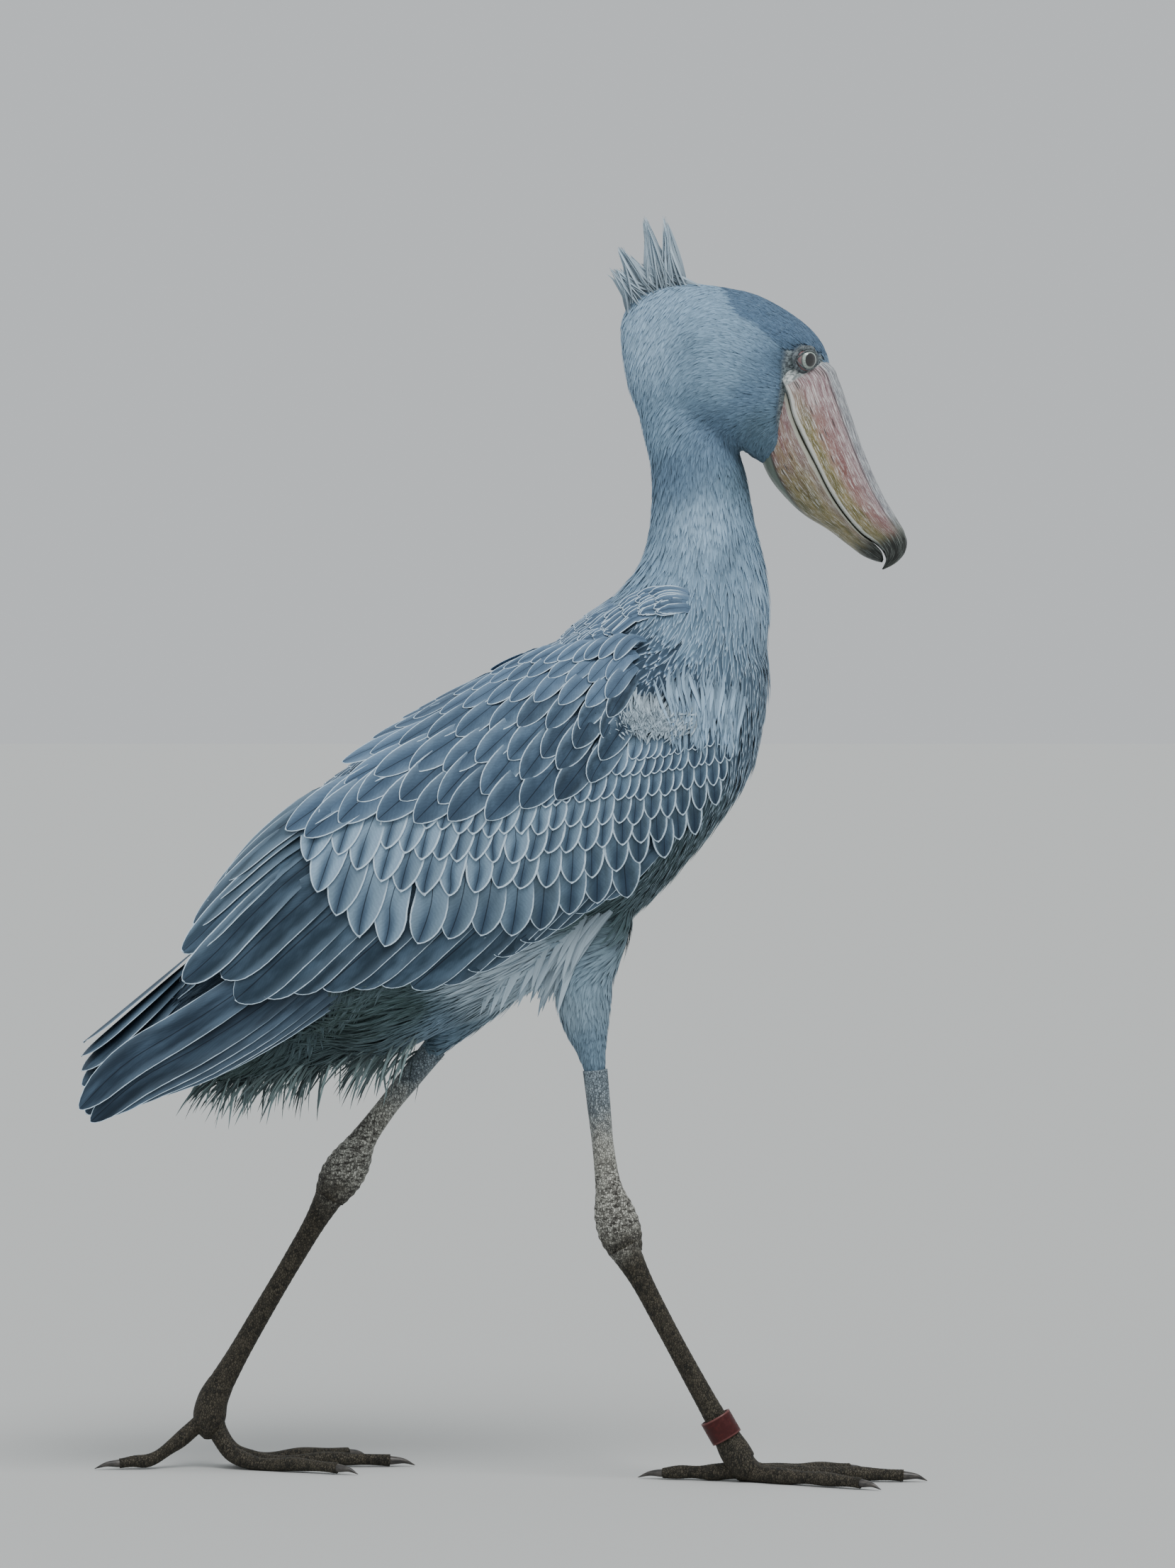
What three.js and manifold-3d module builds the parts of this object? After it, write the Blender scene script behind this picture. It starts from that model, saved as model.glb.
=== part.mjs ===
// A shoebill, life size, walking to +X with its right leg forward.
// Millimetres, +Z up, +Y to the bird's left, origin on the floor under the middle of its length.
import * as THREE from "three";
import { mergeVertices } from "three/addons/utils/BufferGeometryUtils.js";
import Module from "manifold-3d";

const wasm = await Module();
wasm.setup();

// Driving dimensions
const GAP = 0.3; // between neighbours that touch
const ROOT_SHARE = 0.16; // of a feather's length, sunk in what it grows from
const BODY_TILT = 39.5; // degrees the back slopes down to the tail
const SHOULDER = [149.5, 705]; // x, z of the body frame's origin
const BILL_BASE = [279.5, 971.75]; // x, z where the head's and the bill's frames meet
const HEAD_TILT = 25; // degrees the head's axis points down
const BILL_TILT = 55; // degrees the bill points down
const EYE = { back: 20, up: 49, out: 33, radius: 11 };
const CREST = { count: 8, length: 62, width: 8, spread: 15 };
const BAND = { inner: 13.4, wall: 1.3, height: 22, fromFoot: 42 };

// Materials, one for each kind of surface
const paint = (color, roughness, metalness = 0) =>
  new THREE.MeshStandardMaterial({ color, roughness, metalness });
const PLUMAGE = paint(0x8d9db0, 0.85);
const WING_PLUMAGE = paint(0x5f7186, 0.7);
const BILL_HORN = paint(0xb09b84, 0.5);
const EYE_GLOSS = paint(0xb9bfae, 0.15);
const LEG_SCALE = paint(0x3a3531, 0.75);
const CLAW_HORN = paint(0x2c2a29, 0.45);
const BAND_PLASTIC = paint(0x7c1d1c, 0.4);

const radians = THREE.MathUtils.degToRad;
const clamp = THREE.MathUtils.clamp;
const lerp = THREE.MathUtils.lerp;

// A smooth curve through [place, value] knots, as a function of the place.
function smooth(knots) {
  const slope = knots.map((_, i) => {
    const [p, q] = [knots[Math.max(i - 1, 0)], knots[Math.min(i + 1, knots.length - 1)]];
    return (q[1] - p[1]) / (q[0] - p[0]);
  });
  return (at) => {
    const x = clamp(at, knots[0][0], knots[knots.length - 1][0]);
    const i = clamp(knots.findIndex((k) => k[0] > x) - 1, 0, knots.length - 2);
    const j = x >= knots[knots.length - 1][0] ? knots.length - 2 : i;
    const span = knots[j + 1][0] - knots[j][0];
    const t = (x - knots[j][0]) / span;
    const [t2, t3] = [t * t, t * t * t];
    return (
      (2 * t3 - 3 * t2 + 1) * knots[j][1] +
      (t3 - 2 * t2 + t) * span * slope[j] +
      (3 * t2 - 2 * t3) * knots[j + 1][1] +
      (t3 - t2) * span * slope[j + 1]
    );
  };
}

// A point along a broken line of [x, z] corners, at a share of its length.
function along(corners, share) {
  const path = new THREE.CurvePath();
  const points = corners.map((c) => new THREE.Vector2(...c));
  points.slice(1).forEach((p, i) => path.add(new THREE.LineCurve(points[i], p)));
  const p = path.getPointAt(clamp(share, 0, 1));
  return [p.x, p.y];
}

// three.js shapes as manifold-3d solids, and back
function solid(geometry) {
  const bare = geometry.clone();
  bare.deleteAttribute("normal");
  bare.deleteAttribute("uv");
  const merged = mergeVertices(bare, 1e-3);
  const made = new wasm.Manifold(
    new wasm.Mesh({
      numProp: 3,
      vertProperties: merged.attributes.position.array,
      triVerts: new Uint32Array(merged.index.array),
    }),
  );
  if (made.volume() > 0) return made;
  const index = merged.index.array;
  for (let i = 0; i < index.length; i += 3) [index[i], index[i + 1]] = [index[i + 1], index[i]];
  return new wasm.Manifold(
    new wasm.Mesh({
      numProp: 3,
      vertProperties: merged.attributes.position.array,
      triVerts: new Uint32Array(index),
    }),
  );
}
const largest = (body) => body.decompose().sort((p, q) => q.volume() - p.volume())[0];
const joined = (solids) => largest(wasm.Manifold.union(solids));
const mirrored = (body) => body.mirror([0, 1, 0]);

function geometryOf(body) {
  const { numProp, numVert, vertProperties, triVerts } = body.getMesh();
  const positions = new Float32Array(numVert * 3);
  for (let i = 0; i < numVert; i++)
    positions.set(vertProperties.subarray(i * numProp, i * numProp + 3), i * 3);
  const geometry = new THREE.BufferGeometry();
  geometry.setAttribute("position", new THREE.BufferAttribute(positions, 3));
  geometry.setIndex(new THREE.BufferAttribute(triVerts, 1));
  return geometry;
}

// The same body with its faces moved out, to cut room for a neighbour with a gap round it.
function grown(body, by = GAP) {
  const geometry = geometryOf(body);
  geometry.computeVertexNormals();
  const [p, n] = [geometry.attributes.position, geometry.attributes.normal];
  for (let i = 0; i < p.count; i++)
    p.setXYZ(i, p.getX(i) + by * n.getX(i), p.getY(i) + by * n.getY(i), p.getZ(i) + by * n.getZ(i));
  return solid(geometry);
}

const bird = new THREE.Group();

// A named mesh, placed at the middle of its own box.
function place(name, body, material) {
  const geometry = geometryOf(body);
  geometry.computeBoundingBox();
  const centre = geometry.boundingBox.getCenter(new THREE.Vector3());
  geometry.translate(-centre.x, -centre.y, -centre.z);
  geometry.computeVertexNormals();
  const mesh = new THREE.Mesh(geometry, material);
  mesh.name = name;
  mesh.position.copy(centre);
  bird.add(mesh);
}

// A closed tube: a cylinder whose rings are moved by ring(share, cosine, sine).
function tube(around, rings, ring) {
  const shape = new THREE.CylinderGeometry(1, 1, 1, around, rings);
  const p = shape.attributes.position;
  for (let i = 0; i < p.count; i++) {
    const share = 0.5 - p.getY(i);
    const [c, s] = [p.getX(i), p.getZ(i)].map((v) => (Math.abs(v) < 1e-9 ? 0 : v));
    p.setXYZ(i, ...ring(share, c, s).toArray());
  }
  return solid(shape);
}

// A closed leaf: two sheets alike, joined by a rim. put(u, v, side) gives a point, u across from
// -1 to 1, v from root to tip, side 1 on the outer face and -1 on the inner one.
function leaf(across, lengths, put) {
  const sheet = new THREE.PlaneGeometry(2, 1, across, lengths);
  const count = sheet.attributes.position.count;
  const positions = [];
  for (const side of [1, -1])
    for (let i = 0; i < count; i++) {
      const v = 0.5 - sheet.attributes.position.getY(i);
      const share = lengths > 1 && v < 0.99 ? (v * lengths - 1) / (lengths - 1) : v;
      const eased = v < 0.01 ? 0 : v < 0.99 ? lerp(ROOT_SHARE, 1, share * 0.96) : 1;
      positions.push(...put(sheet.attributes.position.getX(i), eased, side).toArray());
    }
  const top = Array.from(sheet.index.array);
  const index = [...top];
  for (let i = 0; i < top.length; i += 3)
    index.push(top[i] + count, top[i + 2] + count, top[i + 1] + count);
  const row = across + 1;
  const rim = [];
  for (let i = 0; i < across; i++) rim.push(i);
  for (let j = 0; j < lengths; j++) rim.push(across + j * row);
  for (let i = across; i > 0; i--) rim.push(lengths * row + i);
  for (let j = lengths; j > 0; j--) rim.push(j * row);
  rim.forEach((p, i) => {
    const q = rim[(i + 1) % rim.length];
    index.push(p, q, q + count, p, q + count, p + count);
  });
  const geometry = new THREE.BufferGeometry();
  geometry.setAttribute("position", new THREE.Float32BufferAttribute(positions, 3));
  geometry.setIndex(index);
  return solid(geometry);
}

// The body frame: a runs rearward along the back, b is square to it, up and back.
const [sinBody, cosBody] = [Math.sin(radians(BODY_TILT)), Math.cos(radians(BODY_TILT))];
const fromBody = (a, b, y) =>
  new THREE.Vector3(
    SHOULDER[0] - a * cosBody - b * sinBody,
    y,
    SHOULDER[1] - a * sinBody + b * cosBody,
  );
function toBody(x, z) {
  const [dx, dz] = [x - SHOULDER[0], z - SHOULDER[1]];
  return [-dx * cosBody - dz * sinBody, -dx * sinBody + dz * cosBody];
}

// Torso: back line, belly line and half width along the body
const BACK = smooth([
  [-112, -22], [-95, 22], [-60, 68], [-20, 92], [40, 104], [100, 113], [160, 121], [220, 129],
  [280, 131], [340, 125], [400, 112], [460, 97], [520, 84], [562, 62],
]);
const BELLY = smooth([
  [-112, -22], [-95, -44], [-60, -77], [-30, -99], [0, -111], [60, -125], [120, -134],
  [180, -137], [240, -130], [300, -110], [380, -83], [460, -52], [520, -10], [562, 34],
]);
const TORSO_HALF = smooth([
  [-112, 4], [-95, 46], [-60, 76], [-20, 94], [40, 107], [100, 113], [160, 115], [220, 112],
  [280, 104], [340, 90], [400, 74], [460, 56], [520, 36], [562, 14],
]);
const TORSO_FROM = -112;
const TORSO_TO = 562;
const TORSO_FULLNESS = 2.2;

const bulge = (v, fullness) => Math.sign(v) * Math.abs(v) ** (2 / fullness);

function torso() {
  return tube(20, 16, (share, c, s) => {
    const eased = share * share * (3 - 2 * share);
    const a = lerp(TORSO_FROM, TORSO_TO, lerp(share, eased, 0.35));
    const middle = (BACK(a) + BELLY(a)) / 2;
    const half = (BACK(a) - BELLY(a)) / 2;
    const b = middle + half * bulge(s, TORSO_FULLNESS);
    return fromBody(a, b, TORSO_HALF(a) * bulge(c, TORSO_FULLNESS));
  });
}

// Neck: back, front and half width by height
const NECK_BACK = smooth([
  [700, 30], [740, 42], [775, 66], [795, 92], [815, 113], [835, 127], [855, 134], [885, 138],
  [930, 137], [965, 129], [1010, 121],
]);
const NECK_FRONT = smooth([
  [700, 242], [722, 246], [751, 250], [774, 253], [800, 255], [831, 252], [854, 247], [877, 242],
  [904, 238], [930, 232], [965, 214], [1010, 190],
]);
const NECK_HALF = smooth([
  [700, 92], [740, 84], [775, 72], [800, 62], [825, 54], [855, 48], [885, 45], [930, 44],
  [965, 43], [1010, 38],
]);
function neck() {
  return tube(18, 9, (share, c, s) => {
    const z = lerp(1010, 700, share);
    const middle = (NECK_BACK(z) + NECK_FRONT(z)) / 2;
    const half = (NECK_FRONT(z) - NECK_BACK(z)) / 2;
    return new THREE.Vector3(middle + half * c, NECK_HALF(z) * s, z);
  });
}

// Head: c runs back from the bill along the head's axis, e is square to it
const [sinHead, cosHead] = [Math.sin(radians(HEAD_TILT)), Math.cos(radians(HEAD_TILT))];
const fromHead = (c, e, y) =>
  new THREE.Vector3(
    BILL_BASE[0] - c * cosHead + e * sinHead,
    y,
    BILL_BASE[1] + c * sinHead + e * cosHead,
  );
const CROWN = smooth([
  [-8, 54], [8, 72], [21, 80], [41, 86], [63, 89], [88, 89], [110, 84], [133, 77], [152, 69],
  [170, 57], [183, 40], [190, 18],
]);
const JAW = smooth([
  [-8, -50], [8, -55], [25, -54], [45, -51], [62, -51], [85, -58], [110, -66], [132, -62],
  [150, -48], [168, -24], [183, 0], [190, 14],
]);
const HEAD_HALF = smooth([
  [-8, 40], [8, 45], [25, 49], [50, 53], [80, 54], [110, 50], [135, 42], [158, 31], [178, 17],
  [190, 4],
]);
const HEAD_FROM = -8;
const HEAD_TO = 190;
const BROW = { from: -2, to: 66, up: 62, out: 3.5, tall: 9 };

function headCore() {
  return tube(20, 10, (share, c, s) => {
    const at = lerp(HEAD_FROM, HEAD_TO, share);
    const middle = (CROWN(at) + JAW(at)) / 2;
    const half = (CROWN(at) - JAW(at)) / 2;
    const e = middle + half * bulge(s, 2.1);
    const shelf = Math.exp(-(((e - BROW.up) / BROW.tall) ** 2));
    const span = Math.sin(Math.PI * clamp((at - BROW.from) / (BROW.to - BROW.from), 0, 1));
    const out = HEAD_HALF(at) + BROW.out * shelf * span;
    return fromHead(at, e, out * bulge(c, 2.1));
  });
}

// The lids: a low ring round the eye, set in the head's side.
const eyeCentre = (side) => fromHead(EYE.back, EYE.up, side * EYE.out);
function lids(side) {
  const ring = new THREE.TorusGeometry(EYE.radius - 1.2, 2.6, 4, 12);
  ring.rotateX(Math.PI / 2);
  ring.rotateZ(radians(side * -14));
  const centre = eyeCentre(side);
  ring.translate(centre.x + 1.4, centre.y + side * 6.2, centre.z);
  return solid(ring);
}
function eyeBall(side) {
  const ball = new THREE.SphereGeometry(EYE.radius, 12, 7);
  ball.translate(...eyeCentre(side).toArray());
  return solid(ball);
}

// Crest: narrow pointed feathers that fan up from the nape
function crest() {
  const feathers = [];
  for (let i = 0; i < CREST.count; i++) {
    const across = (i % 3) - 1;
    const back = i / (CREST.count - 1);
    const root = fromHead(lerp(128, 178, back), lerp(70, 42, back), across * CREST.spread * 0.7);
    const lean = radians(lerp(80, 158, back) + ((i * 37) % 11) - 5);
    const reach = CREST.length * lerp(1.12, 0.8, back) * (1 - 0.12 * (i % 2));
    const way = new THREE.Vector3(Math.cos(lean), across * 0.16, Math.sin(lean)).normalize();
    const flat = new THREE.Vector3(0, 1, 0).applyAxisAngle(way, radians(across * 35));
    const thick = new THREE.Vector3().crossVectors(way, flat);
    feathers.push(
      leaf(1, 3, (u, v, side) => {
        const wide = (CREST.width / 2) * (1 - 0.86 * v ** 1.4);
        return root
          .clone()
          .addScaledVector(way, reach * v - 6 * (1 - v))
          .addScaledVector(thick, side * lerp(1.2, 0.4, v) + 5 * v * v)
          .addScaledVector(flat, u * wide);
      }),
    );
  }
  return feathers;
}

// Bill: f runs down the bill from its base, u is square to it
const [sinBill, cosBill] = [Math.sin(radians(BILL_TILT)), Math.cos(radians(BILL_TILT))];
const fromBill = (f, u, y) =>
  new THREE.Vector3(
    BILL_BASE[0] + f * cosBill + u * sinBill,
    y,
    BILL_BASE[1] - f * sinBill + u * cosBill,
  );
// Each station: culmen f and u, mouth line f and u, half width
const UPPER_BILL = [
  [-34, 44, -34, 4, 36], [-22, 51, -25, 3, 42], [-6, 48, -7, -4, 46], [19, 41, 17, -9, 49],
  [54, 31, 42, -13, 50], [83, 24.5, 73, -17, 47], [105, 21, 96, -17, 42], [127, 19.5, 119, -14, 33],
  [141, 18, 136, -8, 25], [150, 14.5, 143, -7, 18], [156.5, 7, 148, -8, 12],
  [159, -3, 152, -10, 8], [158.6, -11, 154.5, -14, 4.5], [157.3, -17.5, 156.3, -18, 1.2],
];
const LOWER_BILL = [
  [-24, -7, -4, -44, 34], [-8, -8, 10, -52, 41], [10, -12, 24, -54.5, 45],
  [42, -15.5, 48, -53.5, 47], [73, -19.5, 76, -47.5, 43], [96, -19.5, 99, -37.5, 37],
  [119, -16.5, 121, -30.5, 28], [136, -10.8, 139, -24, 18], [146, -10.4, 149, -17, 9],
  [150, -12, 151.5, -14.5, 3],
];

function stationAt(stations, share) {
  const at = share * (stations.length - 1);
  const i = Math.min(Math.floor(at), stations.length - 2);
  return stations[i].map((value, k) => lerp(value, stations[i + 1][k], at - i));
}

// An arch over the mouth line, or under it, with a flat or rounded side towards the mouth.
function billPart(stations, archPower) {
  return tube(18, stations.length - 1, (share, c, s) => {
    const [topF, topU, edgeF, edgeU, half] = stationAt(stations, share);
    const rise = s > 0 ? s ** archPower : 0;
    const sag = s < 0 ? s * 0.04 : 0;
    const f = lerp(edgeF, topF, rise + sag);
    const u = lerp(edgeU, topU, rise + sag);
    const wide = s > 0 ? Math.abs(c) ** 0.62 : Math.abs(c);
    return fromBill(f, u, Math.sign(c) * half * wide);
  });
}
const upperBill = billPart(UPPER_BILL, 1.25);
const lowerBill = billPart(
  LOWER_BILL.map(([edgeF, edgeU, lowF, lowU, half]) => [lowF, lowU, edgeF, edgeU, half]),
  1.1,
);
// Nostrils: a slit on each side, beside the culmen near its base
function nostril(side) {
  const slit = new THREE.BoxGeometry(15, 6, 1.8);
  slit.rotateY(radians(BILL_TILT + 12));
  slit.translate(...fromBill(-9, 44.5, side * 12).toArray());
  return solid(slit);
}

// The outside of the folded wings, as wide and as tall as the body at each place
const OUTER_BACK = smooth([
  [-70, 50], [-20, 100], [40, 113], [100, 122], [160, 131], [220, 141], [280, 146], [340, 143],
  [400, 133], [460, 120], [520, 113], [580, 106], [650, 84],
]);
const OUTER_BELLY = smooth([
  [-70, -84], [0, -116], [60, -130], [120, -139], [180, -142], [240, -137], [300, -124],
  [380, -102], [460, -78], [520, -55], [580, -25], [650, -5],
]);
const OUTER_HALF = smooth([
  [-70, 74], [-45, 87], [-20, 98], [40, 111], [100, 117], [160, 119], [220, 117], [280, 111],
  [340, 102], [400, 91], [460, 81], [520, 71], [580, 62], [650, 54],
]);
const OUTER_FULLNESS = 2.5;

// A point outside the body, by place along it and by angle up from its side, lifted outwards.
function outer(a, angle, lift) {
  const at = (p, q) => {
    const middle = (OUTER_BACK(p) + OUTER_BELLY(p)) / 2;
    const half = (OUTER_BACK(p) - OUTER_BELLY(p)) / 2;
    return fromBody(
      p,
      middle + half * bulge(Math.sin(q), OUTER_FULLNESS),
      -OUTER_HALF(p) * bulge(Math.cos(q), OUTER_FULLNESS),
    );
  };
  const q = clamp(angle, -1.45, 1.5);
  const here = at(a, q);
  const ahead = at(a + 4, q).sub(at(a - 4, q));
  const round = at(a, q + 0.05).sub(at(a, q - 0.05));
  const normal = new THREE.Vector3().crossVectors(ahead, round).normalize();
  if (normal.y > 0 && Math.abs(normal.y) > 0.1) normal.negate();
  if (Math.abs(normal.y) <= 0.1 && normal.z * Math.sin(q) < 0) normal.negate();
  return { point: here.addScaledVector(normal, lift), normal };
}
function angleAt(a, b) {
  const middle = (OUTER_BACK(a) + OUTER_BELLY(a)) / 2;
  const half = (OUTER_BACK(a) - OUTER_BELLY(a)) / 2;
  const t = clamp((b - middle) / half, -0.995, 0.995);
  return Math.sign(t) * Math.asin(Math.abs(t) ** (OUTER_FULLNESS / 2));
}

// Wing feathers by tract. Tips lie along a broken line of [a, b] places; heading is the angle
// below the horizon, seen from the side, from the line's start to its end.
const SECONDARY = {
  tips: [[153, -93], [195, -84], [273, -71], [327, -56], [366, -20], [424, 16], [469, 42], [456, 72]],
  count: 9, length: [105, 150], width: [18, 20], heading: [44, 42], lift: [-6, 4], cells: [1, 3],
};
const PRIMARY = {
  tips: [[545, 16], [590, 24], [618, 30], [643, 38]],
  count: 4, length: [230, 280], width: [17, 20], heading: [28, 35], lift: [-20, -12], cells: [1, 3], stack: 2.4,
};
const GREATER = {
  tips: [[120, -78], [152, -66], [178, -52], [216, -22], [246, -6], [270, 4], [300, 22], [318, 50], [330, 82]],
  count: 10, length: [58, 72], width: [19, 22], heading: [82, 56], lift: [-6, 7.5], cells: [1, 3],
};
const MEDIAN = {
  tips: [[72, -82], [112, -58], [170, -30], [216, 2], [262, 34], [300, 66]],
  count: 10, length: [46, 56], width: [16, 20], heading: [84, 64], lift: [-6, 9], cells: [1, 2],
};
const LESSER = {
  tips: [[0, -84], [52, -58], [104, -26], [160, 6], [210, 38]],
  count: 7, length: [40, 48], width: [16, 20], heading: [86, 66], lift: [-6, 10], cells: [1, 2],
};
const SCAPULAR_ROWS = 3;
const scapularRow = (k) => ({
  tips: [[60 - 52 * k, -28 + 34 * k], [210 - 62 * k, 46 + 28 * k], [346 - 72 * k, 130]],
  count: 7 - k, length: [76 - 6 * k, 106 - 10 * k], width: [20 - 1.4 * k, 25 - 2 * k],
  heading: [80 - 10 * k, 42], lift: [-6, 11 + k], cells: [1, 3],
});
const TERTIAL = {
  tips: [[392, 112], [440, 112]],
  count: 2, length: [120, 140], width: [22, 26], heading: [42, 40], lift: [-6, 6], cells: [1, 3],
};
const VANE_THICK = 1.1;
const VANE_CLEAR = 0.5; // between a vane's edge and the neighbour it lies over
const liftAt = ([low, high], v) => {
  const clear = Math.min(1.2, high);
  return v < ROOT_SHARE ? lerp(low, clear, v / ROOT_SHARE) : lerp(clear, high, (v - ROOT_SHARE) / (1 - ROOT_SHARE));
};

// Half width of a vane from root to tip, as a share of its widest
const vaneWidth = smooth([[0, 0.55], [0.3, 0.92], [0.6, 1], [0.82, 0.82], [1, 0.3]]);

function vane(tip, heading, length, half, lift, cells, roll) {
  const way = radians(heading);
  const tipPoint = fromBody(tip[0], tip[1], 0);
  const rootBody = toBody(
    tipPoint.x + length * Math.cos(way),
    tipPoint.z + length * Math.sin(way),
  );
  const [from, to] = [angleAt(...rootBody), angleAt(...tip)];
  const middle = (v, raise) =>
    outer(lerp(rootBody[0], tip[0], v), lerp(from, to, v), liftAt(lift, clamp(v, 0, 1)) + raise);
  return leaf(...cells, (u, v, side) => {
    const { point, normal } = middle(v, 0);
    const run = middle(Math.min(v + 0.05, 1.05), 0).point.sub(middle(v - 0.05, 0).point);
    const across = new THREE.Vector3().crossVectors(normal, run).normalize();
    const wide = half * vaneWidth(v);
    const cup = 0.0011 * wide * wide * u * u;
    const point2 = u === 0 && v === 1 ? run.normalize().multiplyScalar(half * 0.22) : null;
    if (point2) point.add(point2);
    return point
      .addScaledVector(across, u * wide)
      .addScaledVector(normal, side * (VANE_THICK / 2) - cup + u * roll);
  });
}

function tract({ tips, count, length, width, heading, lift, cells, stack = 0 }) {
  const places = Array.from({ length: count }, (_, i) => along(tips, i / Math.max(count - 1, 1)));
  const headings = places.map((_, i) => lerp(heading[0], heading[1], i / Math.max(count - 1, 1)));
  const steps = places.slice(1).map((p, i) => {
    const step = fromBody(...p, 0).sub(fromBody(...places[i], 0));
    const way = radians(headings[i]);
    return Math.abs(step.x * Math.sin(way) - step.z * Math.cos(way));
  });
  const spacing = steps.reduce((sum, step) => sum + step, 0) / Math.max(steps.length, 1);
  const lean = ((VANE_THICK + VANE_CLEAR) * width[1]) / Math.max(spacing, 14) + 0.8;
  return places.map((place_, i) => {
    const share = i / Math.max(count - 1, 1);
    const sway = ((i * 53) % 7) / 7 - 0.5;
    const size = 1 + 0.08 * sway;
    const lifts = lift.map((value) => value + stack * i);
    const reach = lerp(length[0], length[1], share) * size;
    return vane(place_, headings[i] + 2 * sway, reach, lerp(width[0], width[1], share), lifts, cells, lean);
  });
}

// The wing's own flesh and small feathers: a shell on the body's side, upper and lower edge by place
const WING_TOP_EDGE = smooth([[-62, -25], [-40, 8], [0, 40], [60, 62], [160, 72], [300, 76], [430, 62]]);
const WING_LOW_EDGE = smooth([[-62, -42], [-30, -50], [60, -50], [160, -44], [260, -34], [340, -18], [430, 10]]);
const WING_FROM = -62;
const WING_TO = 430;
const WING_DEPTH = 22; // before the body is cut away
function wingShell() {
  return tube(14, 12, (share, c, s) => {
    const a = lerp(WING_FROM, WING_TO, share);
    const [low, high] = [radians(WING_LOW_EDGE(a)), radians(WING_TOP_EDGE(a))];
    const q = lerp(low, high, (s + 1) / 2);
    const thin = Math.min(1, 6 * share + 0.25, 4 * (1 - share) + 0.15);
    return outer(a, q, c > 0 ? -0.5 : -WING_DEPTH * thin * Math.abs(c)).point;
  });
}

function rightWing(cutters) {
  const tracts = [SECONDARY, PRIMARY, GREATER, MEDIAN, LESSER, TERTIAL];
  for (let k = 0; k < SCAPULAR_ROWS; k++) tracts.push(scapularRow(k));
  let wing = wasm.Manifold.union([wingShell(), ...tracts.flatMap(tract)]);
  for (const cutter of cutters) wing = wing.subtract(cutter);
  return largest(wing);
}

// Tail: twelve broad feathers, roofed from the middle pair down to the outer ones
const TAIL = { pairs: 6, width: 17, root: 478, tips: [[603, 100], [612, 93], [620, 84], [628, 74], [636, 63], [640, 52]] };
function tailFeather(i, side) {
  const share = i / (TAIL.pairs - 1);
  const [tipA, tipB] = TAIL.tips[i];
  const roll = radians(lerp(6, 60, share));
  const root = fromBody(TAIL.root, lerp(101, 84, share), side * lerp(3, 24, share));
  const tip = fromBody(tipA, tipB, side * lerp(6, 45, share));
  const run = tip.clone().sub(root);
  const way = run.clone().normalize();
  const flat = new THREE.Vector3(0, side, 0);
  const down = fromBody(0, -1, 0).sub(fromBody(0, 0, 0));
  const across = flat.multiplyScalar(Math.cos(roll)).addScaledVector(down, Math.sin(roll));
  const out = new THREE.Vector3().crossVectors(way, across).normalize();
  if (out.dot(down) > 0) out.negate();
  return leaf(1, 3, (u, v, face) => {
    const wide = TAIL.width * vaneWidth(Math.max(v, 0.08)) * (v === 1 ? 1.5 : 1);
    return root
      .clone()
      .addScaledVector(run, v)
      .addScaledVector(across, u * wide)
      .addScaledVector(out, face * 0.55 - 1.2 * u - 1.9 * i);
  });
}
function tail(cutters) {
  const base = tube(10, 5, (share, c, s) => {
    const round = Math.sqrt(Math.max(0.02, 1 - (2 * share - 1) ** 2));
    return fromBody(lerp(452, 528, share), lerp(94, 88, share) + 13 * round * s, 27 * round * c);
  });
  const feathers = [];
  for (let i = 0; i < TAIL.pairs; i++) for (const side of [1, -1]) feathers.push(tailFeather(i, side));
  let whole = wasm.Manifold.union([base, ...feathers]);
  for (const cutter of cutters) whole = whole.subtract(cutter);
  return largest(whole);
}

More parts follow.
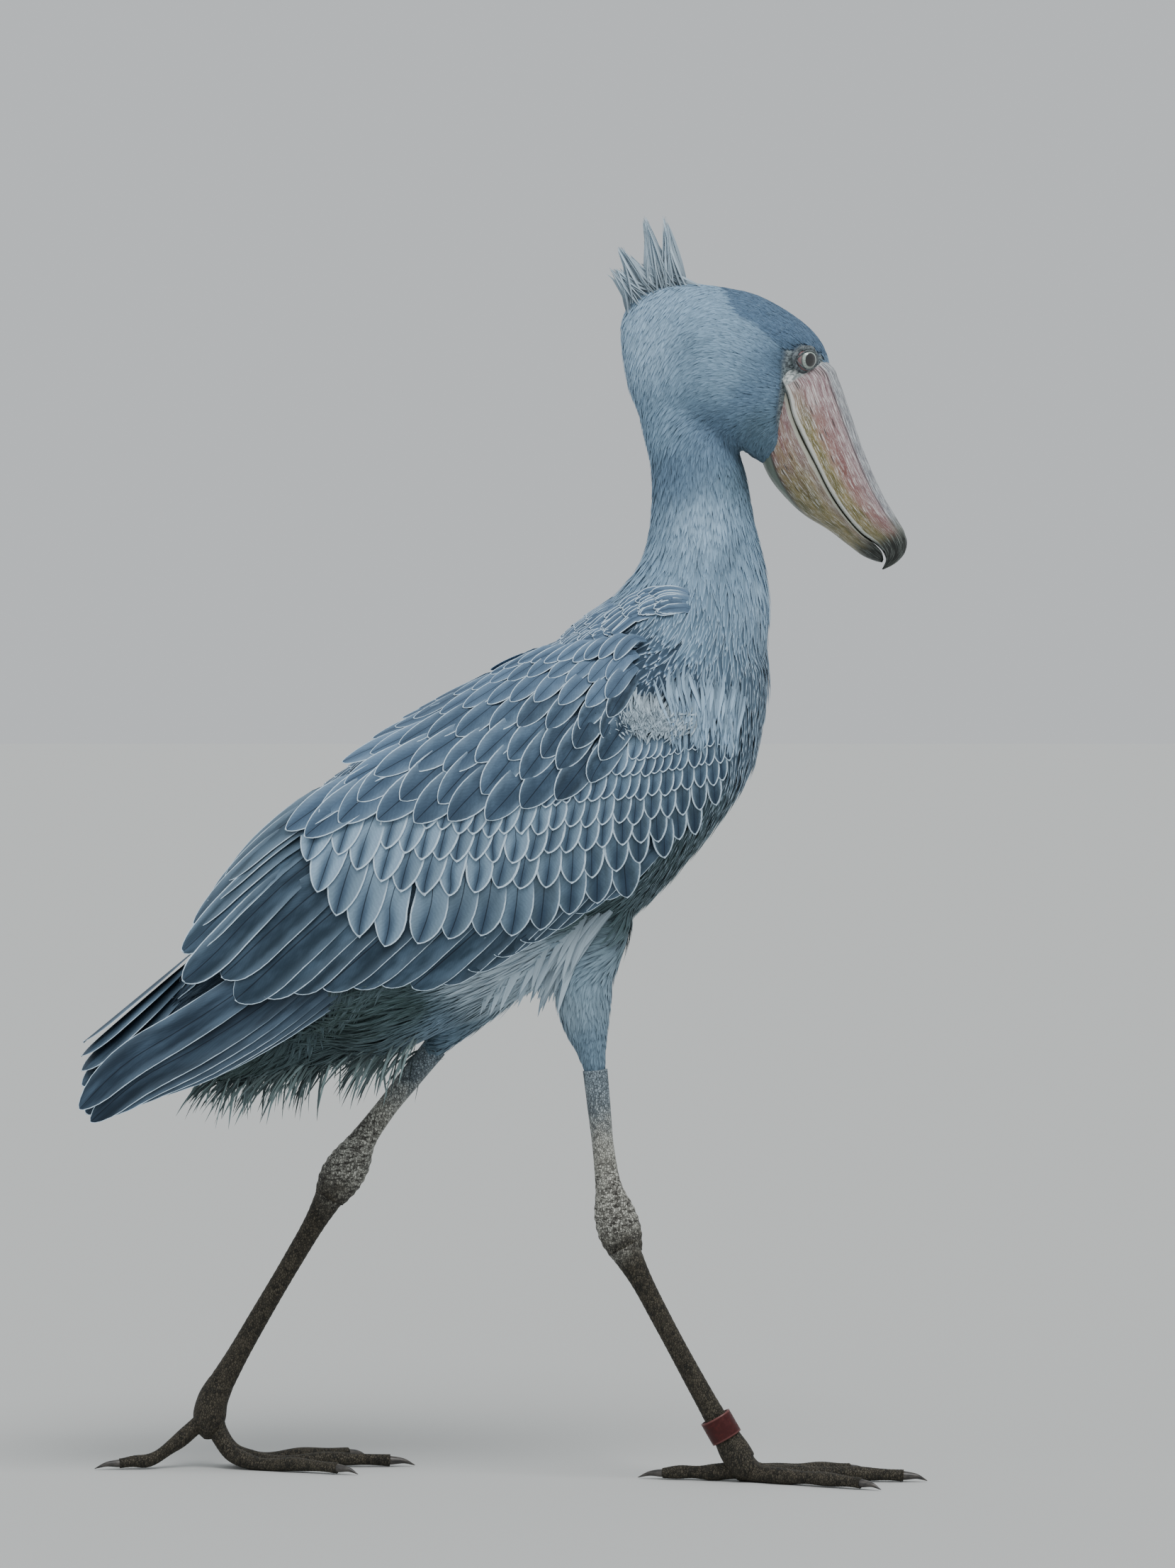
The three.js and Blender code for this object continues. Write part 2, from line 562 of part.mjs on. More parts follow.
// Legs. Each limb is a row of stations: x, z, half depth along the path's side, half width in y.
function limb(stations, y, around, rings) {
  const path = new THREE.CatmullRomCurve3(
    stations.map(([x, z]) => new THREE.Vector3(x, 0, z)),
    false,
    "centripetal",
  );
  return tube(around, rings, (share, c, s) => {
    const at = share * (stations.length - 1);
    const i = Math.min(Math.floor(at), stations.length - 2);
    const ease = at - i;
    const depth = lerp(stations[i][2], stations[i + 1][2], ease);
    const width = lerp(stations[i][3], stations[i + 1][3], ease);
    const here = path.getPoint(share);
    const way = path.getTangent(share);
    const fore = new THREE.Vector3(-way.z, 0, way.x);
    here.y = y;
    return here
      .addScaledVector(fore, depth * c)
      .add(new THREE.Vector3(0, width * s, 0));
  });
}
const LEGS = {
  right: {
    side: -1,
    thighY: -46, footY: -54,
    thigh: [[86, 548, 38, 26], [84, 505, 42, 31], [80, 461, 31, 27], [82, 424, 25.5, 23], [88, 392, 17, 16], [91.8, 370, 12.4, 12]],
    shank: [[92, 369.4, 11.6, 11], [94.5, 342, 10.8, 10], [99, 300, 10, 9.5], [103.5, 268, 12.5, 11.5], [109, 244, 19, 15], [114.5, 225, 19.5, 15.5], [119.5, 210, 15.5, 13]],
    tarsus: [[119.8, 209.4, 13.4, 12], [130, 190, 10.6, 9.6], [152, 148, 9, 8.4], [180, 96, 9.2, 8.6], [200, 60, 10.2, 9.6], [212, 39, 12, 11.4]],
    ball: [[212.2, 38.6, 12.4, 12], [219, 27, 14, 14.5], [226, 14, 12.5, 15]],
    foot: [226, 12], lifted: 0, stub: 42,
    toes: [
      { name: "inner", turn: 27, length: 112, claw: 20, thick: 8.2 },
      { name: "middle", turn: -2, length: 148, claw: 22, thick: 8.8 },
      { name: "outer", turn: -31, length: 124, claw: 20, thick: 8.2 },
      { name: "hind", turn: 168, length: 74, claw: 24, thick: 7.8 },
    ],
  },
  left: {
    side: 1,
    thighY: 46, footY: 52,
    thigh: [[56, 540, 38, 26], [28, 498, 42, 31], [-2, 458, 33, 27], [-26, 428, 25, 22], [-48, 402, 16.5, 16], [-62, 385, 12.4, 12]],
    shank: [[-62.4, 384.5, 11.6, 11], [-79, 364, 10.8, 10], [-106, 330, 10, 9.5], [-124, 305, 12.5, 11.5], [-136, 284, 19, 15], [-146, 268, 19.5, 15.5], [-154, 254, 15.5, 13]],
    tarsus: [[-154.3, 253.4, 13.4, 12], [-166, 233, 10.6, 9.6], [-190, 192, 9, 8.4], [-220, 141, 9.2, 8.6], [-243, 101, 10.2, 9.6], [-257, 77, 12, 11.4]],
    ball: [[-257.3, 76.5, 12.4, 12], [-264, 64, 14, 14.5], [-266, 50, 13, 15]],
    foot: [-266, 48], lifted: 38, stub: 76,
    toes: [
      { name: "inner", turn: -24, length: 132, claw: 20, thick: 8.2 },
      { name: "middle", turn: 3, length: 168, claw: 22, thick: 8.8 },
      { name: "outer", turn: 30, length: 144, claw: 20, thick: 8.2 },
      { name: "hind", turn: 190, length: 84, claw: 24, thick: 7.8 },
    ],
  },
};
const TOE_REST = 7.4; // height of a toe's middle line over the floor
const HIND_STUB = 0.62; // of the other toes' stubs, which are joined to the foot

// The middle line of a toe: down from the foot's ball, then flat along the floor.
function toeLine(leg, toe) {
  const way = new THREE.Vector3(Math.cos(radians(toe.turn)), Math.sin(radians(toe.turn)), 0);
  const start = new THREE.Vector3(leg.foot[0], leg.footY, leg.foot[1]);
  const drop = leg.foot[1] - TOE_REST;
  const hind = toe.name === "hind";
  const run = leg.lifted ? (hind ? 34 : 22) : 16;
  const corners = [
    start,
    start.clone().addScaledVector(way, run * 0.35).setZ(TOE_REST + drop * (hind ? 0.8 : 0.62)),
    start.clone().addScaledVector(way, run).setZ(TOE_REST + drop * (hind ? 0.36 : 0.18)),
    start.clone().addScaledVector(way, run * 1.6 + 6).setZ(TOE_REST),
    start.clone().addScaledVector(way, (run + toe.length) * 0.6).setZ(TOE_REST),
    start.clone().addScaledVector(way, toe.length).setZ(TOE_REST - 1.6),
    start.clone().addScaledVector(way, toe.length + toe.claw * 0.55).setZ(TOE_REST - 2.4),
    start.clone().addScaledVector(way, toe.length + toe.claw).setZ(1.2),
  ];
  return new THREE.CatmullRomCurve3(corners, false, "centripetal");
}
const TOE_JOINTS = 3;

// One stretch of a toe, from and to in millimetres along its line, flat where it meets the floor.
function toePart(leg, toe, from, to, around, rings, radius) {
  const line = toeLine(leg, toe);
  const whole = line.getLength();
  return tube(around, rings, (share, c, s) => {
    const at = clamp(lerp(from, to, share) / whole, 0, 1);
    const here = line.getPointAt(at);
    const way = line.getTangentAt(at);
    const aside = new THREE.Vector3(-way.y, way.x, 0).normalize();
    const up = new THREE.Vector3().crossVectors(way, aside);
    const r = radius(lerp(from, to, share) / (toe.length + toe.claw), share);
    here.addScaledVector(aside, r * c).addScaledVector(up, -r * 0.94 * s);
    here.z = Math.max(here.z, 0);
    return here;
  });
}
const stubOf = (leg, toe) => leg.stub * (toe.name === "hind" ? HIND_STUB : 1);
const toeRadius = (toe) => (far) =>
  toe.thick * (lerp(1, 0.6, far) + 0.07 * Math.cos(far * TOE_JOINTS * 2 * Math.PI + 1));
const clawRadius = (toe) => (far, share) => toe.thick * 0.46 * (1 - 0.93 * share ** 1.3);

function foot(leg) {
  const ball = limb(leg.ball, leg.footY, 10, 4);
  const stubs = leg.toes.map((toe) => toePart(leg, toe, 0, stubOf(leg, toe), 8, 3, toeRadius(toe)));
  const floor = new THREE.BoxGeometry(900, 400, 60);
  floor.translate(0, 0, -30);
  return largest(wasm.Manifold.union([ball, ...stubs]).subtract(solid(floor)));
}

// Leg band: a plain plastic ring round the right tarsus, just over the foot
function legBand() {
  const [x1, z1] = LEGS.right.tarsus[4];
  const [x0, z0] = LEGS.right.tarsus[5];
  const h = BAND.height / 2;
  const profile = [[BAND.inner, -h], [BAND.inner + BAND.wall, -h], [BAND.inner + BAND.wall, h], [BAND.inner, h], [BAND.inner, -h]];
  const ring = new THREE.LatheGeometry(profile.map((p) => new THREE.Vector2(...p)), 16);
  ring.rotateX(Math.PI / 2);
  ring.rotateY(Math.atan2(x1 - x0, z1 - z0));
  ring.translate((x0 + x1) / 2, LEGS.right.footY, (z0 + z1) / 2);
  return solid(ring);
}

// Thin cuts that part the neck from the torso and from the head
function slice(x, z, lean) {
  const cut = new THREE.BoxGeometry(420, 420, GAP);
  cut.rotateY(radians(lean));
  cut.translate(x, 0, z);
  return solid(cut);
}

// The bird, put together
const eyes = { right: eyeBall(-1), left: eyeBall(1) };
const eyeRoom = wasm.Manifold.union([grown(eyes.right), grown(eyes.left)]);
const upperRoom = grown(upperBill, 2 * GAP);
const flesh = joined([torso(), neck(), headCore(), lids(1), lids(-1), ...crest()])
  .subtract(wasm.Manifold.union([upperRoom, grown(lowerBill, 4 * GAP), eyeRoom]))
  .subtract(slice(180, 952, 12))
  .subtract(slice(170, 792, 16))
  .decompose()
  .sort((p, q) => q.volume() - p.volume())
  .slice(0, 3)
  .sort((p, q) => q.boundingBox().max[2] - p.boundingBox().max[2]);
place("head", flesh[0], PLUMAGE);
place("neck", flesh[1], PLUMAGE);
place("torso", flesh[2], PLUMAGE);

const cutBill = wasm.Manifold.union([nostril(1), nostril(-1), eyeRoom]);
place("bill_upper", largest(upperBill.subtract(cutBill)), BILL_HORN);
place("bill_lower", largest(lowerBill.subtract(upperRoom)), BILL_HORN);
place("eye_right", eyes.right, EYE_GLOSS);
place("eye_left", eyes.left, EYE_GLOSS);

const bodyRoom = wasm.Manifold.union([grown(torso(), 2 * GAP), grown(neck(), 2 * GAP)]);
const thighs = {};
for (const [name, leg] of Object.entries(LEGS)) thighs[name] = limb(leg.thigh, leg.thighY, 14, 7);
const tailWhole = tail([bodyRoom]);
const tailRoom = grown(tailWhole);
const wings = {
  right: rightWing([bodyRoom, tailRoom, grown(thighs.right)]),
  left: mirrored(rightWing([bodyRoom, mirrored(tailRoom), mirrored(grown(thighs.left))])),
};
place("tail", tailWhole, WING_PLUMAGE);
place("wing_right", wings.right, WING_PLUMAGE);
place("wing_left", wings.left, WING_PLUMAGE);

for (const [name, leg] of Object.entries(LEGS)) {
  const thigh = largest(thighs[name].subtract(bodyRoom));
  const middle = limb(leg.shank, lerp(leg.thighY, leg.footY, 0.4), 12, 9);
  const shank = largest(middle.subtract(grown(thigh)));
  const tarsus = largest(limb(leg.tarsus, leg.footY, 10, 8).subtract(grown(shank)));
  place("thigh_" + name, thigh, PLUMAGE);
  place("shank_" + name, shank, LEG_SCALE);
  place("tarsus_" + name, tarsus, LEG_SCALE);
  place("foot_" + name, largest(foot(leg).subtract(grown(tarsus))), LEG_SCALE);
  for (const toe of leg.toes) {
    const joints = toePart(leg, toe, stubOf(leg, toe) + GAP, toe.length, 8, 6, toeRadius(toe));
    const claw = toePart(leg, toe, toe.length + GAP, toe.length + toe.claw, 6, 2, clawRadius(toe));
    place("toe_" + toe.name + "_" + name, joints, LEG_SCALE);
    place("claw_" + toe.name + "_" + name, claw, CLAW_HORN);
  }
}
place("leg_band", legBand(), BAND_PLASTIC);

export default bird;
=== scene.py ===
"""A shoebill in mid stride: skin, plumage, wing and tail feathers, bill, eyes, legs and ring."""

from math import cos, exp, pi, radians, sin

import bmesh
import bpy
import numpy as np
from mathutils import Matrix, Vector
from mathutils.bvhtree import BVHTree


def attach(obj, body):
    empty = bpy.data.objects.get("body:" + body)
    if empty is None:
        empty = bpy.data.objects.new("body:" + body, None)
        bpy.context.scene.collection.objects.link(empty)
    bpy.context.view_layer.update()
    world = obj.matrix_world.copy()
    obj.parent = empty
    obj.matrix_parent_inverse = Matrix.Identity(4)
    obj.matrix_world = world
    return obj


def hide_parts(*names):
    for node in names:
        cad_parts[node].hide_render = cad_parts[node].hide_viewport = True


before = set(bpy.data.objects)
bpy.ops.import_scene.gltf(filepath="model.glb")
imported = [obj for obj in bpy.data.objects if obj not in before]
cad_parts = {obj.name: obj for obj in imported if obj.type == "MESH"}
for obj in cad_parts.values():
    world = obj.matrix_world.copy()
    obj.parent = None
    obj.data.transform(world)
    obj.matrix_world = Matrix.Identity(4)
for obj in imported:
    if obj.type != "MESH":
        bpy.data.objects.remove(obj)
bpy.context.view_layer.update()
rng = np.random.default_rng(7)
MM = 0.001


# Places and frames

BODY_TILT = radians(39.5)
SHOULDER = (149.5, 705.0)
BILL_BASE = (279.5, 971.75)
HEAD_TILT = radians(25)
BILL_TILT = radians(55)


def curve(knots):
    """A smooth curve through [place, value] knots, as a function of an array of places."""
    k = np.array(knots, float)
    x, y = k[:, 0], k[:, 1]
    slope = np.gradient(y, x)

    def at(places):
        p = np.clip(np.asarray(places, float), x[0], x[-1])
        i = np.clip(np.searchsorted(x, p, side="right") - 1, 0, len(x) - 2)
        span = x[i + 1] - x[i]
        t = (p - x[i]) / span
        return (
            (2 * t**3 - 3 * t**2 + 1) * y[i]
            + (t**3 - 2 * t**2 + t) * span * slope[i]
            + (3 * t**2 - 2 * t**3) * y[i + 1]
            + (t**3 - t**2) * span * slope[i + 1]
        )

    return at


def stack(x, y, z):
    return np.stack(np.broadcast_arrays(x, y, z), axis=-1).astype(float)


def from_body(a, b, y):
    """Body frame to millimetres: a runs rearward along the back, b is square to it."""
    sn, cs = sin(BODY_TILT), cos(BODY_TILT)
    return stack(SHOULDER[0] - a * cs - b * sn, y, SHOULDER[1] - a * sn + b * cs)


def to_body(x, z):
    dx, dz = x - SHOULDER[0], z - SHOULDER[1]
    sn, cs = sin(BODY_TILT), cos(BODY_TILT)
    return -dx * cs - dz * sn, -dx * sn + dz * cs


def from_head(c, e, y):
    """Head frame: c runs back from the bill along the head, e is square to it."""
    sn, cs = sin(HEAD_TILT), cos(HEAD_TILT)
    return stack(BILL_BASE[0] - c * cs + e * sn, y, BILL_BASE[1] + c * sn + e * cs)


def to_head(x, z):
    dx, dz = x - BILL_BASE[0], z - BILL_BASE[1]
    sn, cs = sin(HEAD_TILT), cos(HEAD_TILT)
    return -dx * cs + dz * sn, dx * sn + dz * cs


def from_bill(f, u, y):
    """Bill frame: f runs down the bill from its base, u is square to it."""
    sn, cs = sin(BILL_TILT), cos(BILL_TILT)
    return stack(BILL_BASE[0] + f * cs + u * sn, y, BILL_BASE[1] - f * sn + u * cs)


def bulge(v, fullness):
    return np.sign(v) * np.abs(v) ** (2 / fullness)


def smoothstep(low, high, v):
    t = np.clip((v - low) / (high - low), 0, 1)
    return t * t * (3 - 2 * t)


BACK = curve([
    [-112, -22], [-95, 22], [-60, 68], [-20, 92], [40, 104], [100, 113], [160, 121],
    [220, 129], [280, 131], [340, 125], [400, 112], [460, 97], [520, 84], [562, 62],
])
BELLY = curve([
    [-112, -22], [-95, -44], [-60, -77], [-30, -99], [0, -111], [60, -125], [120, -134],
    [180, -137], [240, -130], [300, -110], [380, -83], [460, -52], [520, -10], [562, 34],
])
TORSO_HALF = curve([
    [-112, 4], [-95, 46], [-60, 76], [-20, 94], [40, 107], [100, 113], [160, 115],
    [220, 112], [280, 104], [340, 90], [400, 74], [460, 56], [520, 36], [562, 14],
])
NECK_BACK = curve([
    [700, 30], [740, 42], [775, 66], [795, 92], [815, 113], [835, 127], [855, 134],
    [885, 138], [930, 137], [965, 129], [1010, 121],
])
NECK_FRONT = curve([
    [700, 242], [722, 246], [751, 250], [774, 253], [800, 255], [831, 252], [854, 247],
    [877, 242], [904, 238], [930, 232], [965, 214], [1010, 190],
])
NECK_HALF = curve([
    [700, 92], [740, 84], [775, 72], [800, 62], [825, 54], [855, 48], [885, 45],
    [930, 44], [965, 43], [1010, 38],
])
CROWN = curve([
    [-8, 54], [8, 72], [21, 80], [41, 86], [63, 89], [88, 89], [110, 84], [133, 77],
    [152, 69], [170, 57], [183, 40], [190, 18],
])
JAW = curve([
    [-8, -50], [8, -55], [25, -54], [45, -51], [62, -51], [85, -58], [110, -66],
    [132, -62], [150, -48], [168, -24], [183, 0], [190, 14],
])
HEAD_HALF = curve([
    [-8, 40], [8, 45], [25, 49], [50, 53], [80, 54], [110, 50], [135, 42], [158, 31],
    [178, 17], [190, 4],
])
OUTER_BACK = curve([
    [-70, 50], [-20, 100], [40, 113], [100, 122], [160, 131], [220, 141], [280, 146],
    [340, 143], [400, 133], [460, 120], [520, 113], [580, 106], [650, 84],
])
OUTER_BELLY = curve([
    [-70, -84], [0, -116], [60, -130], [120, -139], [180, -142], [240, -137], [300, -124],
    [380, -102], [460, -78], [520, -55], [580, -25], [650, -5],
])
OUTER_HALF = curve([
    [-70, 74], [-45, 87], [-20, 98], [40, 111], [100, 117], [160, 119], [220, 117],
    [280, 111], [340, 102], [400, 91], [460, 81], [520, 71], [580, 62], [650, 54],
])
OUTER_FULLNESS = 2.5
WING_ANGLES = (-1.45, 1.5)  # how far round the wing a feather may lie, from below to above
STEP_ALONG, STEP_ROUND = 4, 0.05  # small steps that give the outside's slope


def outer(a, angle, lift, side):
    """Points on the outside of the folded wing, lifted out by millimetres, and their normals."""

    def at(p, q):
        middle = (OUTER_BACK(p) + OUTER_BELLY(p)) / 2
        half = (OUTER_BACK(p) - OUTER_BELLY(p)) / 2
        wide = OUTER_HALF(p) * bulge(np.cos(q), OUTER_FULLNESS)
        return from_body(p, middle + half * bulge(np.sin(q), OUTER_FULLNESS), side * wide)

    q = np.clip(angle, *WING_ANGLES)
    ahead = at(a + STEP_ALONG, q) - at(a - STEP_ALONG, q)
    upward = at(a, q + STEP_ROUND) - at(a, q - STEP_ROUND)
    normal = np.cross(ahead, upward)
    normal /= np.linalg.norm(normal, axis=-1, keepdims=True)
    middle = from_body(a, (OUTER_BACK(a) + OUTER_BELLY(a)) / 2, 0)
    outward = np.sum(normal * (at(a, q) - middle), axis=-1, keepdims=True)
    normal *= np.where(outward < 0, -1, 1)
    return at(a, q) + normal * np.asarray(lift)[..., None], normal


def angle_at(a, b):
    middle = (OUTER_BACK(a) + OUTER_BELLY(a)) / 2
    half = (OUTER_BACK(a) - OUTER_BELLY(a)) / 2
    t = np.clip((b - middle) / half, -0.995, 0.995)
    return np.sign(t) * np.arcsin(np.abs(t) ** (OUTER_FULLNESS / 2))


# Mesh helpers

def linked(name, data):
    obj = bpy.data.objects.new(name, data)
    bpy.context.scene.collection.objects.link(obj)
    return obj


def mesh_of(name, bm):
    mesh = bpy.data.meshes.new(name)
    bm.to_mesh(mesh)
    bm.free()
    return mesh


def dress(name, mesh, mat):
    """A piece of the bird, shaded smooth, with its material, riding the body."""
    obj = linked(name, mesh)
    mesh.polygons.foreach_set("use_smooth", np.ones(len(mesh.polygons), bool))
    mesh.materials.append(mat)
    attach(obj, "root")
    return obj


def new_object(name, bm, mat):
    return dress(name, mesh_of(name, bm), mat)


def read(items, key, width=1, kind=float):
    """One number, or one row of width numbers, for each vertex, face or corner of a mesh."""
    values = np.empty(len(items) * width, kind)
    items.foreach_get(key, values)
    return values.reshape(-1, width) if width > 1 else values


def mark_points(mesh, key, values):
    """Keeps a number, or a colour where values has three columns, on each point of a mesh."""
    colour = values.ndim == 2
    if colour:
        values = np.c_[values, np.ones(len(values))]
    made = mesh.attributes.new(key, "FLOAT_COLOR" if colour else "FLOAT", "POINT")
    made.data.foreach_set("color" if colour else "value", values.astype(np.float32).ravel())


def loft(rings, caps=True):
    """A bmesh skinned over closed rings of points in millimetres, each an (n, 3) array."""
    bm = bmesh.new()
    n = len(rings[0])
    edges = []
    for ring in rings:
        made = bmesh.ops.create_circle(bm, cap_ends=False, radius=1, segments=n)
        for v, p in zip(made["verts"], ring):
            v.co = Vector(p) * MM
        edges.append(list({e for v in made["verts"] for e in v.link_edges}))
    for one, two in zip(edges, edges[1:]):
        bmesh.ops.bridge_loops(bm, edges=one + two)
    if caps:
        for end in (edges[0], edges[-1]):
            bmesh.ops.holes_fill(bm, edges=end, sides=0)
    bmesh.ops.recalc_face_normals(bm, faces=bm.faces[:])
    return bm


def around(n):
    t = np.linspace(0, 2 * pi, n, endpoint=False)
    return np.cos(t), np.sin(t)


BODY_CORNERS = 40
HEAD_CORNERS = 48
BILL_CORNERS = 72


def section(middle, half, wide, place, fullness=2.2):
    """One ring of a body section: place(b, y) gives the points."""
    c, s = around(BODY_CORNERS)
    return place(middle + half * bulge(s, fullness), wide * bulge(c, fullness))


def path_rings(stations, y, n=28, steps=6):
    """Rings square to a smooth path through [x, z, half depth, half width] stations."""
    st = np.array(stations, float)
    keys = np.concatenate([[0], np.cumsum(np.hypot(*np.diff(st[:, :2], axis=0).T))])
    fns = [curve(np.stack([keys, st[:, k]], axis=1)) for k in range(4)]
    t = np.linspace(0, keys[-1], steps * (len(st) - 1) + 1)
    c, s = around(n)
    rings = []
    for at in t:
        dx, dz = (fn(at + 0.5) - fn(at - 0.5) for fn in fns[:2])
        way = np.array([dx, 0, dz])
        way /= np.linalg.norm(way)
        fore = np.array([-way[2], 0, way[0]])
        here = np.array([fns[0](at), y, fns[1](at)])
        rings.append(here + np.outer(c, fore) * fns[2](at) + np.outer(s, [0, 1, 0]) * fns[3](at))
    return rings


# Materials

PLUMAGE_GAMMA = 1.25  # gamma that deepens the plumage
BLUER = (1.2, 1.36, 1.48)
BLOOM = (0.24, 0.31, 0.385)
BARB_SHADOW = (0.02, 0.03, 0.045)
VANE_HEART = (0.045, 0.07, 0.105)
VANE_HALO = (0.34, 0.4, 0.46)
SHAFT = (0.014, 0.018, 0.026)
VANE_RIM = (0.56, 0.61, 0.65)
PLUME_LIGHT = (0.54, 0.6, 0.66)
PLUME_SHADOW = (0.06, 0.09, 0.125)
PLUME_HEART = (0.045, 0.064, 0.085)
PLUME_RIM = (0.54, 0.59, 0.64)
SCRATCH = (0.84, 0.84, 0.82)
WORN_HORN = (0.72, 0.7, 0.68)
HORN_DIRT = (0.05, 0.04, 0.038)
HORN_SEAM = (0.05, 0.05, 0.045)
THROAT_SKIN = (0.17, 0.205, 0.17)


def material(name):
    mat = bpy.data.materials.new(name)
    mat.use_nodes = True
    tree = mat.node_tree
    tree.nodes.clear()
    out = tree.nodes.new("ShaderNodeOutputMaterial")
    shader = tree.nodes.new("ShaderNodeBsdfPrincipled")
    tree.links.new(shader.outputs[0], out.inputs[0])
    return mat, Painter(tree, shader)


class Painter:
    """Short calls for the nodes that the finishes are made of."""

    def __init__(self, tree, shader):
        self.tree = tree
        self.shader = shader

    def node(self, kind, **settings):
        made = self.tree.nodes.new("ShaderNode" + kind)
        for key, value in settings.items():
            setattr(made, key, value)
        return made

    def put(self, socket, value):
        if isinstance(value, bpy.types.NodeSocket):
            self.tree.links.new(value, socket)
        elif isinstance(value, tuple) and len(value) == 3 and socket.type == "RGBA":
            socket.default_value = (*value, 1)
        else:
            socket.default_value = value

    def sum(self, operation, a, b=0.5, c=0.5):
        made = self.node("Math", operation=operation)
        self.put(made.inputs[0], a)
        self.put(made.inputs[1], b)
        if operation == "MULTIPLY_ADD":
            self.put(made.inputs[2], c)
        return made.outputs[0]

    def times(self, a, b):
        return self.sum("MULTIPLY", a, b)

    def add(self, a, b, c):
        """a times b, plus c."""
        return self.sum("MULTIPLY_ADD", a, b, c)

    def step(self, value, low, high, first=0.0, last=1.0):
        made = self.node("MapRange", interpolation_type="SMOOTHSTEP")
        for socket, given in zip(made.inputs, (value, low, high, first, last)):
            self.put(socket, given)
        return made.outputs[0]

    def mix(self, share, a, b, blend="MIX"):
        made = self.node("Mix", data_type="RGBA", blend_type=blend)
        self.put(made.inputs[0], share)
        self.put(made.inputs[6], a)
        self.put(made.inputs[7], b)
        return made.outputs[2]

    def spot(self, vector, stretch):
        """Where a texture is read: the object's own place unless a vector is given, stretched."""
        source = vector or self.node("TexCoord").outputs["Object"]
        if not stretch:
            return source
        turned = self.node("Mapping")
        self.put(turned.inputs["Vector"], source)
        turned.inputs["Scale"].default_value = stretch
        return turned.outputs[0]

    def noise(self, scale, detail, vector=None, stretch=None, rough=0.55, warp=0.0):
        made = self.node("TexNoise")
        self.put(made.inputs["Vector"], self.spot(vector, stretch))
        made.inputs["Scale"].default_value = scale
        made.inputs["Detail"].default_value = detail
        made.inputs["Roughness"].default_value = rough
        made.inputs["Distortion"].default_value = warp
        return made.outputs[0]

    def cells(self, scale, feature, stretch, vector=None, output=0):
        made = self.node("TexVoronoi", feature=feature)
        self.put(made.inputs["Vector"], self.spot(vector, stretch))
        made.inputs["Scale"].default_value = scale
        return made.outputs[output]

    def gray(self, colour):
        made = self.node("RGBToBW")
        self.put(made.inputs[0], colour)
        return made.outputs[0]

    def uv(self, name):
        made = self.node("UVMap", uv_map=name)
        parts = self.node("SeparateXYZ")
        self.put(parts.inputs[0], made.outputs[0])
        return parts.outputs[0], parts.outputs[1], made.outputs[0]

    def own_place(self, across, along, lot):
        """A place on a feather that differs from feather to feather."""
        made = self.node("CombineXYZ")
        self.put(made.inputs[0], across)
        self.put(made.inputs[1], along)
        self.put(made.inputs[2], self.sum("MULTIPLY", lot, 60.0))
        return made.outputs[0]

    def mark(self, name, output=2):
        """A mark kept on the points: output 0 reads a colour, 1 a vector and 2 a number."""
        return self.node("Attribute", attribute_name=name).outputs[output]

    def bump(self, height, strength, distance):
        made = self.node("Bump")
        made.inputs["Strength"].default_value = strength
        made.inputs["Distance"].default_value = distance
        self.put(made.inputs["Height"], height)
        return made.outputs[0]

    def deepen(self, colour):
        """Plumage colour with more depth and more blue."""
        made = self.node("Gamma")
        self.put(made.inputs[0], colour)
        made.inputs[1].default_value = PLUMAGE_GAMMA
        return self.mix(1.0, made.outputs[0], BLUER, "MULTIPLY")

    def finish(self, **sockets):
        """Sets or links the shader's sockets, named with _ for a space."""
        for name, value in sockets.items():
            self.put(self.shader.inputs[name.replace("_", " ")], value)


